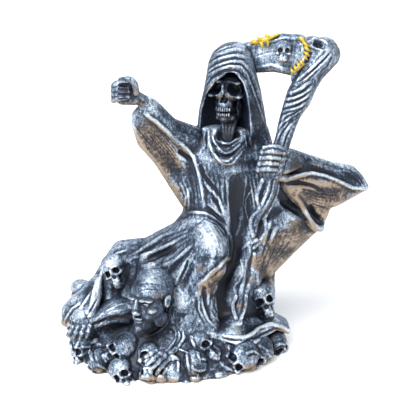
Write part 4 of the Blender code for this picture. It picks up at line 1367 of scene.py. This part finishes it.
STITCHES = (
    # both ends of each stitch on the drawing, and its depth
    (298, 37.5, 306.5, 42.5, -4.4),
    (301.5, 41.5, 309.5, 47, -5.2),
    (303.5, 46.5, 310.5, 51.5, -5.8),
    (303.5, 51.5, 309.5, 56, -6.4),
    (303, 56, 307, 59.5, -7.0),
    (300, 59.5, 303.5, 65.5, -7.4),
    (297, 62, 300.5, 68.5, -7.6),
    (294, 65, 297, 71.5, -7.6),
    (291, 68.5, 293.5, 74, -7.2),
)


def model_stitches(grain):
    """Slanting stitches of gold over the joint of blade and head."""
    clay = Clay()
    for u, v, end_u, end_v, depth in STITCHES:
        middle = ((u + end_u) / 2, (v + end_v) / 2, depth, 0.5)
        clay.roll([(u, v, depth + 1.6, 0.3), middle, (end_u, end_v, depth + 0.6, 0.32)])
    clay.roll([(291, 74, -7.0, 0.25), (297, 70.5, -7.4, 0.25), (304, 64, -7.2, 0.25)])
    return clay.fused("stitches", grain, 0)


LIZARD_LEGS = (
    # shoulder or hip, and foot, on the drawing
    (260, 41, 257.5, 37.5),
    (268, 38.5, 266.5, 35),
    (260, 42, 262, 47),
    (266, 40, 268, 45),
)


def model_lizard(grain):
    """A small gold lizard that lies along the blade's top edge."""
    clay = Clay()
    clay.roll([
        (256, 43, 1.0, 0.6), (261, 41, -0.2, 0.95), (267, 39, -0.8, 0.9), (272, 37, -1.0, 0.55),
        (278, 34.5, -1.0, 0.4),
    ])
    clay.roll([(257, 43, 0.8, 0.6), (253.5, 42, 1.4, 0.75), (251, 43.5, 1.8, 0.4)])
    for u, v, foot_u, foot_v in LIZARD_LEGS:
        knee = ((u + foot_u) / 2 + 1, (v + foot_v) / 2, -1.2, 0.5)
        clay.roll([(u, v, -0.6, 0.5), knee, (foot_u, foot_v, -1.0, 0.45)])
    return clay.fused("lizard", grain, 0)


# The heap of skulls

FOOT_MIDDLE_X = -13.6
FOOT_HALF = (35.5, 29.5)
FOOT_SHARES = ((-3, 0.96), (1, 1.0), (4, 0.96), (9, 0.82), (14, 0.58), (18, 0.3))  # height, share
RUBBLE = 83  # lumps in two rows, one over the other, round the foot's edge
RUBBLE_OUT, RUBBLE_IN = 0.97, 0.13  # the lower row's place as a share of the foot, and the upper's step in
RUBBLE_LEVEL, RUBBLE_STEP = 0.8, 5.2  # the lower row's height and the upper's step up
RUBBLE_HALF = (2.2, 1.9, 1.6)
PILE_SKULL_WIDTH = 7.5
# Drawing point, depth, share of the width, and turn, nod and roll in degrees of each skull
PILE = (
    (114, 270, 0.3, 1.05, -6, -8, -30),
    (121, 349, -20.5, 1.2, -25, -8, 55),
    (123.5, 372.5, -26, 1.05, -10, -12, -38),
    (150, 361, -23.5, 1.3, 5, -48, 8),
    (196, 366, -25.0, 1.1, 10, 20, -15),
    (203, 345, -20.5, 1.1, 0, -12, -55),
    (239, 358, -21.0, 1.25, -18, -8, 54),
    (257, 352, -15.5, 1.2, 30, 20, 20),
    (275, 345, -8.5, 1.1, 45, 0, -10),
    (261, 298, -3.5, 1.25, 14, -12, -14),
    (80, 291, 9, 0.85, -120, 0, 0),
    (84, 348, -14, 1.15, -50, 0, -20),
    (172, 374, -26, 1.0, -5, 30, 15),
    (100, 364, -20.5, 1.0, -35, 15, 20),
    (216, 375, -24.0, 0.9, 25, 20, 60),
    (184, 352, -21.0, 0.8, 20, -30, 40),
    (222, 346, -17.5, 0.8, -20, -20, 20),
)
BACK_SKULLS = 10
# Ribs and splinters of bone between the skulls, each with a crack beside it
BONE_WIDTH, BONE_HEIGHT = 0.8, 0.55
CRACK_WIDTH, CRACK_HEIGHT = 0.7, -0.4
BONES = (
    ((78, 341), (75, 353), (84, 366)),
    ((92, 341), (89, 353), (94, 361)),
    ((69, 335), (71, 347), (77, 359), (91, 372)),
    ((81, 347), (91, 347), (92, 359)),
    ((94, 364), (106, 369), (113, 378)),
    ((139, 347), (140, 361), (147, 372)),
    ((168, 353), (179, 360), (178, 372)),
    ((173, 347), (187, 353), (189, 369)),
    ((183, 332), (191, 337), (196, 348)),
    ((197, 351), (200, 359), (206, 360)),
    ((186, 363), (196, 371), (205, 370)),
    ((217, 357), (227, 369), (239, 373)),
    ((245, 354), (253, 351), (261, 357), (267, 363)),
    ((258, 345), (267, 351), (273, 360)),
    ((273, 348), (281, 343), (287, 348)),
    ((222, 340), (230, 347), (228, 356)),
)


def model_heap(grain, skull):
    clay = Clay()
    wide, deep = FOOT_HALF
    clay.stack([(FOOT_MIDDLE_X, 0, z, wide * share, deep * share) for z, share in FOOT_SHARES])
    for n in range(RUBBLE):
        angle = 4 * math.pi * n / RUBBLE
        upper = n % 2
        out = RUBBLE_OUT - RUBBLE_IN * upper + 0.03 * math.sin(n * 5.1)
        level = RUBBLE_LEVEL + RUBBLE_STEP * upper + math.sin(n * 2.3)
        place = at(FOOT_MIDDLE_X + wide * out * math.cos(angle), deep * out * math.sin(angle), level)
        half = list(RUBBLE_HALF)
        half[0] += 0.6 * math.sin(n * 3.7)
        half[2] += 0.5 * math.cos(n * 1.9)
        clay.ball(place, half, (0, 0, 40 * n))
    for u, v, depth, share, turn, nod, roll in PILE:
        clay.add(skull, facing(spot(u, v, depth), PILE_SKULL_WIDTH * share * PERCENT, turn, nod, roll))
    for n in range(BACK_SKULLS):
        angle = math.radians(2 + 176 * n / (BACK_SKULLS - 1) + 5 * math.sin(n * 2.9))
        out = 0.93 - 0.05 * (n % 2)
        level = 3.6 + 2.6 * (n % 2) + math.sin(n * 1.7)
        centre = at(FOOT_MIDDLE_X + wide * out * math.cos(angle), deep * out * math.sin(angle), level)
        size = PILE_SKULL_WIDTH * (1.0 + 0.15 * (n % 3)) * PERCENT
        turn = 90 + math.degrees(angle) + 20 * math.sin(n * 2.1)
        clay.add(skull, facing(centre, size, turn, 25 * math.sin(n * 1.3), 35 * math.sin(n * 3.1)))
    made = clay.fused("heap", grain, 1)
    cut_flat(made.data)
    bones = [(line, BONE_WIDTH, BONE_HEIGHT) for line in BONES]
    cracks = [(tuple((u + 2, v + 2) for u, v in line), CRACK_WIDTH, CRACK_HEIGHT) for line in BONES]
    press(made.data, bones + cracks)
    return made


# The gaunt man who crawls out of the heap

MAN_HEAD_HEIGHT = 19.4
MAN_TURNS = (-34, -5, -4)
MAN_HEAD_PLACE = (151.5, 298, -18.8)
# Arms and their sinews, as drawing points, depths and radii
MAN_ARMS = (
    (
        (172, 318, -14, 3.4), (181, 323, -16, 3.0), (186, 333, -19, 2.3), (180, 344, -21.5, 1.8),
        (170, 353, -25, 1.7),
    ),
    ((168, 324, -17, 1.4), (178, 333, -20, 1.2), (174, 344, -23, 1.0), (164, 354, -26, 1.2)),
    ((160, 355, -26, 2.0), (158, 360, -27, 1.6)),
    ((138, 312, -13, 3.6), (122, 313, -14, 3.0), (104, 318, -14, 2.4), (88, 324, -14.5, 1.8)),
    ((136, 310, -16, 1.2), (122, 311, -17, 1.0), (108, 314, -16.5, 0.9), (92, 321, -16, 0.9)),
    ((128, 320, -16, 1.2), (112, 321, -16.5, 0.8), (96, 326, -16, 0.9)),
    ((170, 306, -16.5, 0.8), (168, 320, -18, 0.7), (159, 331, -19.5, 0.7), (147, 337, -20, 0.6)),
    ((173, 312, -16, 0.8), (172, 325, -17.5, 0.7), (163, 336, -19, 0.6), (152, 341, -19.5, 0.5)),
    ((88, 324, -15, 1.7), (80, 327, -15.5, 1.5), (76, 330, -15.5, 1.2)),
)
# Root and tip of each finger
MAN_FINGERS = (
    ((160, 354, -28.0), (147, 365, -29.5)),
    ((164, 356, -28.0), (151, 370, -30.0)),
    ((168, 359, -27.5), (156, 374, -30.0)),
    ((171, 363, -27.0), (162, 377, -29.5)),
    ((156, 352, -27.5), (146, 357, -28.5)),
    ((90, 326, -16.5), (87, 337, -17.5)),
    ((84, 327, -16.5), (80, 339, -17.5)),
    ((78, 328, -16.5), (74, 338, -17.0)),
    ((73, 328, -16.0), (69, 336, -16.5)),
)


def model_man(grain):
    clay = Clay()
    head = mesh_of(bmesh_of(carved(MAN_HEAD, MAN_HOLLOWS, FINE_HEAD), eggs(MAN_EYES)), "head")
    clay.add(head, facing(spot(*MAN_HEAD_PLACE), MAN_HEAD_HEIGHT * PERCENT, *MAN_TURNS))
    clay.hull([(153, 314, -14, 3.6), (168, 332, -14, 5.4), (178, 326, -15, 4.0), (140, 334, -16, 4.6)])
    for strand in MAN_ARMS:
        clay.roll(strand)
    for start, end in MAN_FINGERS:
        middle = [(a + b) / 2 for a, b in zip(start, end, strict=True)]
        knuckle = (middle[0], middle[1] - 0.6, middle[2] - 0.5, 0.85)
        clay.roll([(*start, 0.9), knuckle, (*end, 0.6)])
        clay.ball(spot(*start), 1.05)
        clay.ball(spot(*knuckle[:3]), 1.0)
    made = clay.fused("man", grain, 1)
    cut_flat(made.data)
    press(
        made.data,
        (
            (((182, 322), (184, 338), (176, 352)), 0.8, 0.5),
            (((176, 326), (178, 340), (170, 350)), 0.8, -0.5),
            (((134, 316), (118, 317), (102, 321)), 0.8, -0.4),
            (((133, 303), (119, 305), (105, 312), (92, 322)), 0.7, 0.35),
            (((137, 311), (124, 313), (110, 317), (97, 326)), 0.6, 0.35),
            (((139, 291), (147, 289), (158, 290)), 0.5, -0.15),
            (((136, 286), (147, 283), (160, 285)), 0.5, -0.15),
            (((142, 338), (152, 341), (166, 337)), 0.9, 0.4),
            (((144, 343), (154, 346), (168, 342)), 0.8, -0.5),
        ),
    )
    return made


# What a user would change


def grain_property(name, pieces, usual, finest, coarsest):
    """The spacing of the points in a skin, in millimetres here."""
    return bpy.props.FloatProperty(
        name=name,
        description="Spacing of the points in " + pieces,
        default=usual * MM,
        min=finest * MM,
        max=coarsest * MM,
        precision=5,
        unit="LENGTH",
    )


def colour_property(name, description, code):
    """A colour, given as an sRGB hex value."""
    return bpy.props.FloatVectorProperty(
        name=name, description=description, size=4, subtype="COLOR", default=linear(code)
    )


class FigureSizes(bpy.types.PropertyGroup):
    """Sizes of the figure's finer work."""

    cloth_grain: grain_property("Cloth grain", "the robe's skin", 0.85, 0.5, 3)
    detail_grain: grain_property("Detail grain", "the skull face, the hands and the scythe", 0.45, 0.3, 2)
    heap_grain: grain_property("Heap grain", "the heap of skulls", 0.7, 0.4, 3)
    fold_height: bpy.props.FloatProperty(
        name="Fold height",
        description="How far the drawn folds stand out or sink, as a share of the modelled height",
        default=1.0,
        min=0.0,
        max=2.0,
    )


class FigureColours(bpy.types.PropertyGroup):
    """Colours of the paint."""

    black: colour_property("Undercoat", "Sprayed undercoat, left in the folds", "#0c1220")
    graphite: colour_property("Graphite", "Thin silver over the undercoat", "#2a384b")
    silver: colour_property("Silver", "Dry-brushed silver", "#78889a")
    bright: colour_property("Bright edges", "Silver on the raised edges", "#dbe4ec")
    # Painted reflection of a warm floor on what faces down, from dark brown to tan
    brown: colour_property("Reflection", "Bronze brown on what faces down", "#4f453d")
    tan: colour_property("Tan", "Reflected tan on what faces down", "#a08e7c")
    gold: colour_property("Gold", "Gold paint of the stitches and the lizard", "#c9aa3c")
    gold_shadow: colour_property("Gold shadow", "Gold paint in its cracks", "#54471c")


# One operator for each piece or group of like pieces


def sizes():
    return bpy.context.scene.figure_sizes


class FIGURE_OT_robe(bpy.types.Operator):
    """Models the robe with its train, sleeves and spread cloak."""

    bl_idname = "figure.robe"
    bl_label = "Robe"

    def execute(self, context):
        finish_piece(model_robe(sizes().cloth_grain), "robe", silvered_resin())
        return {"FINISHED"}


class FIGURE_OT_hood(bpy.types.Operator):
    """Models the hood and the cowl folds round the neck."""

    bl_idname = "figure.hood"
    bl_label = "Hood and cowl"

    def execute(self, context):
        finish_piece(model_hood(sizes().cloth_grain * 0.7), "hood", silvered_resin())
        return {"FINISHED"}


class FIGURE_OT_skull_face(bpy.types.Operator):
    """Models the bare skull in the hood, with its neck."""

    bl_idname = "figure.skull_face"
    bl_label = "Skull face"

    def execute(self, context):
        skull = bare_skull(HOODED_BONE, FINE_HEAD)
        finish_piece(model_skull(sizes().detail_grain * 0.75, skull), "skull_face", silvered_resin())
        return {"FINISHED"}


class FIGURE_OT_hands(bpy.types.Operator):
    """Models the raised fist and the bony hand on the shaft."""

    bl_idname = "figure.hands"
    bl_label = "Hands"

    def execute(self, context):
        finish_piece(model_fist(sizes().detail_grain), "raised_fist", silvered_resin(), False)
        finish_piece(model_grip(sizes().detail_grain), "gripping_hand", silvered_resin(), False)
        return {"FINISHED"}


class FIGURE_OT_scythe(bpy.types.Operator):
    """Models the scythe: shaft and beast head, blade, and the small skull on it."""

    bl_idname = "figure.scythe"
    bl_label = "Scythe"

    def execute(self, context):
        grain = sizes().detail_grain
        finish_piece(model_shaft(grain * 1.1), "scythe_shaft", silvered_resin(), False)
        finish_piece(model_blade(grain), "blade", silvered_resin(), False)
        finish_piece(model_emblem(grain * 0.6), "blade_emblem", silvered_resin(), False)
        return {"FINISHED"}


class FIGURE_OT_gold(bpy.types.Operator):
    """Models the gold stitches and the gold lizard on the blade."""

    bl_idname = "figure.gold"
    bl_label = "Gold stitches and lizard"

    def execute(self, context):
        grain = sizes().detail_grain * 0.7
        finish_piece(model_stitches(grain), "gold_stitches", gold_paint(), False)
        finish_piece(model_lizard(grain), "gold_lizard", gold_paint(), False)
        return {"FINISHED"}


class FIGURE_OT_skull_heap(bpy.types.Operator):
    """Models the heap of skulls that the figure stands in."""

    bl_idname = "figure.skull_heap"
    bl_label = "Skull heap"

    def execute(self, context):
        skull = bare_skull(SKULL_BONE, COARSE_HEAD)
        finish_piece(model_heap(sizes().heap_grain, skull), "skull_heap", silvered_resin())
        return {"FINISHED"}


class FIGURE_OT_crawling_man(bpy.types.Operator):
    """Models the gaunt man who crawls out of the heap."""

    bl_idname = "figure.crawling_man"
    bl_label = "Crawling man"

    def execute(self, context):
        finish_piece(model_man(sizes().detail_grain), "crawling_man", silvered_resin())
        return {"FINISHED"}


FLOOR_SIZE = 40.0
LAMPS = (
    # name, place, side, watts, colour
    ("key_softbox", (-0.75, -0.7, 1.25), 0.6, 20, "#eef5ff"),
    ("fill_softbox", (0.95, -0.75, 0.55), 0.7, 2, "#ffffff"),
    ("rim_softbox", (0.35, 0.9, 0.95), 0.7, 8, "#eef5ff"),
)
WORLD_LIGHT = 0.3
SENSOR_WIDTH = 36
NEAR_CLIP = 0.01
DAYLIGHT = 2.8
DAYLIGHT_SPREAD = math.radians(50)
DAYLIGHT_TURN = (math.radians(32), math.radians(-14), 0)


class FIGURE_OT_stage(bpy.types.Operator):
    """Makes the pale floor, the soft lights and the camera."""

    bl_idname = "figure.stage"
    bl_label = "Floor, lights and camera"

    def execute(self, context):
        bm = bmesh.new()
        bmesh.ops.create_grid(bm, x_segments=1, y_segments=1, size=FLOOR_SIZE / 2)
        floor = add_object("floor", mesh_of(bm, "floor"))
        card = bpy.data.materials.new("matt_white_card")
        card.use_nodes = True
        shader = card.node_tree.nodes["Principled BSDF"]
        shader.inputs["Base Color"].default_value = linear("#fcfcfc")
        shader.inputs["Roughness"].default_value = 0.9
        floor.data.materials.append(card)
        world = bpy.data.worlds.new("studio")
        world.use_nodes = True
        world.node_tree.nodes["Background"].inputs["Color"].default_value = linear("#ffffff")
        world.node_tree.nodes["Background"].inputs["Strength"].default_value = WORLD_LIGHT
        context.scene.world = world
        aim = at(*EYE_TARGET)
        for name, place, side, watts, colour in LAMPS:
            lamp = bpy.data.lights.new(name, "AREA")
            lamp.size = side
            lamp.energy = watts
            lamp.color = linear(colour)[:3]
            made = add_object(name, lamp)
            made.location = place
            made.rotation_euler = (aim - Vector(place)).to_track_quat("-Z", "Y").to_euler()
        daylight = bpy.data.lights.new("daylight", "SUN")
        daylight.energy = DAYLIGHT
        daylight.angle = DAYLIGHT_SPREAD
        add_object("daylight", daylight).rotation_euler = DAYLIGHT_TURN
        camera = bpy.data.cameras.new("camera")
        camera.sensor_width = SENSOR_WIDTH
        camera.lens = SENSOR_WIDTH * DRAWING_REACH / (2 * DRAWING_MIDDLE)
        camera.clip_start = NEAR_CLIP
        made = add_object("camera", camera)
        made.location = at(*EYE)
        made.rotation_euler = (-EYE_BACK).to_track_quat("-Z", "Y").to_euler()
        context.scene.camera = made
        context.scene.view_settings.view_transform = "Standard"
        return {"FINISHED"}


PIECES = (
    FIGURE_OT_robe,
    FIGURE_OT_hood,
    FIGURE_OT_skull_face,
    FIGURE_OT_hands,
    FIGURE_OT_scythe,
    FIGURE_OT_gold,
    FIGURE_OT_skull_heap,
    FIGURE_OT_crawling_man,
    FIGURE_OT_stage,
)


class VIEW3D_PT_figure(bpy.types.Panel):
    """Sizes, colours and steps of the figure."""

    bl_label = "Santa muerte figure"
    bl_space_type = "VIEW_3D"
    bl_region_type = "UI"
    bl_category = "Santa muerte"

    def draw(self, context):
        for group in (context.scene.figure_sizes, context.scene.figure_colours):
            box = self.layout.box()
            for name in group.__annotations__:
                box.prop(group, name)
        for piece in PIECES:
            self.layout.operator(piece.bl_idname)


CLASSES = (FigureSizes, FigureColours, *PIECES, VIEW3D_PT_figure)


def register():
    for kind in CLASSES:
        bpy.utils.register_class(kind)
    bpy.types.Scene.figure_sizes = bpy.props.PointerProperty(type=FigureSizes)
    bpy.types.Scene.figure_colours = bpy.props.PointerProperty(type=FigureColours)


def unregister():
    del bpy.types.Scene.figure_sizes
    del bpy.types.Scene.figure_colours
    for kind in reversed(CLASSES):
        bpy.utils.unregister_class(kind)


def main():
    register()
    for piece in PIECES:
        group, name = piece.bl_idname.split(".")
        getattr(getattr(bpy.ops, group), name)()


if __name__ == "__main__":
    main()
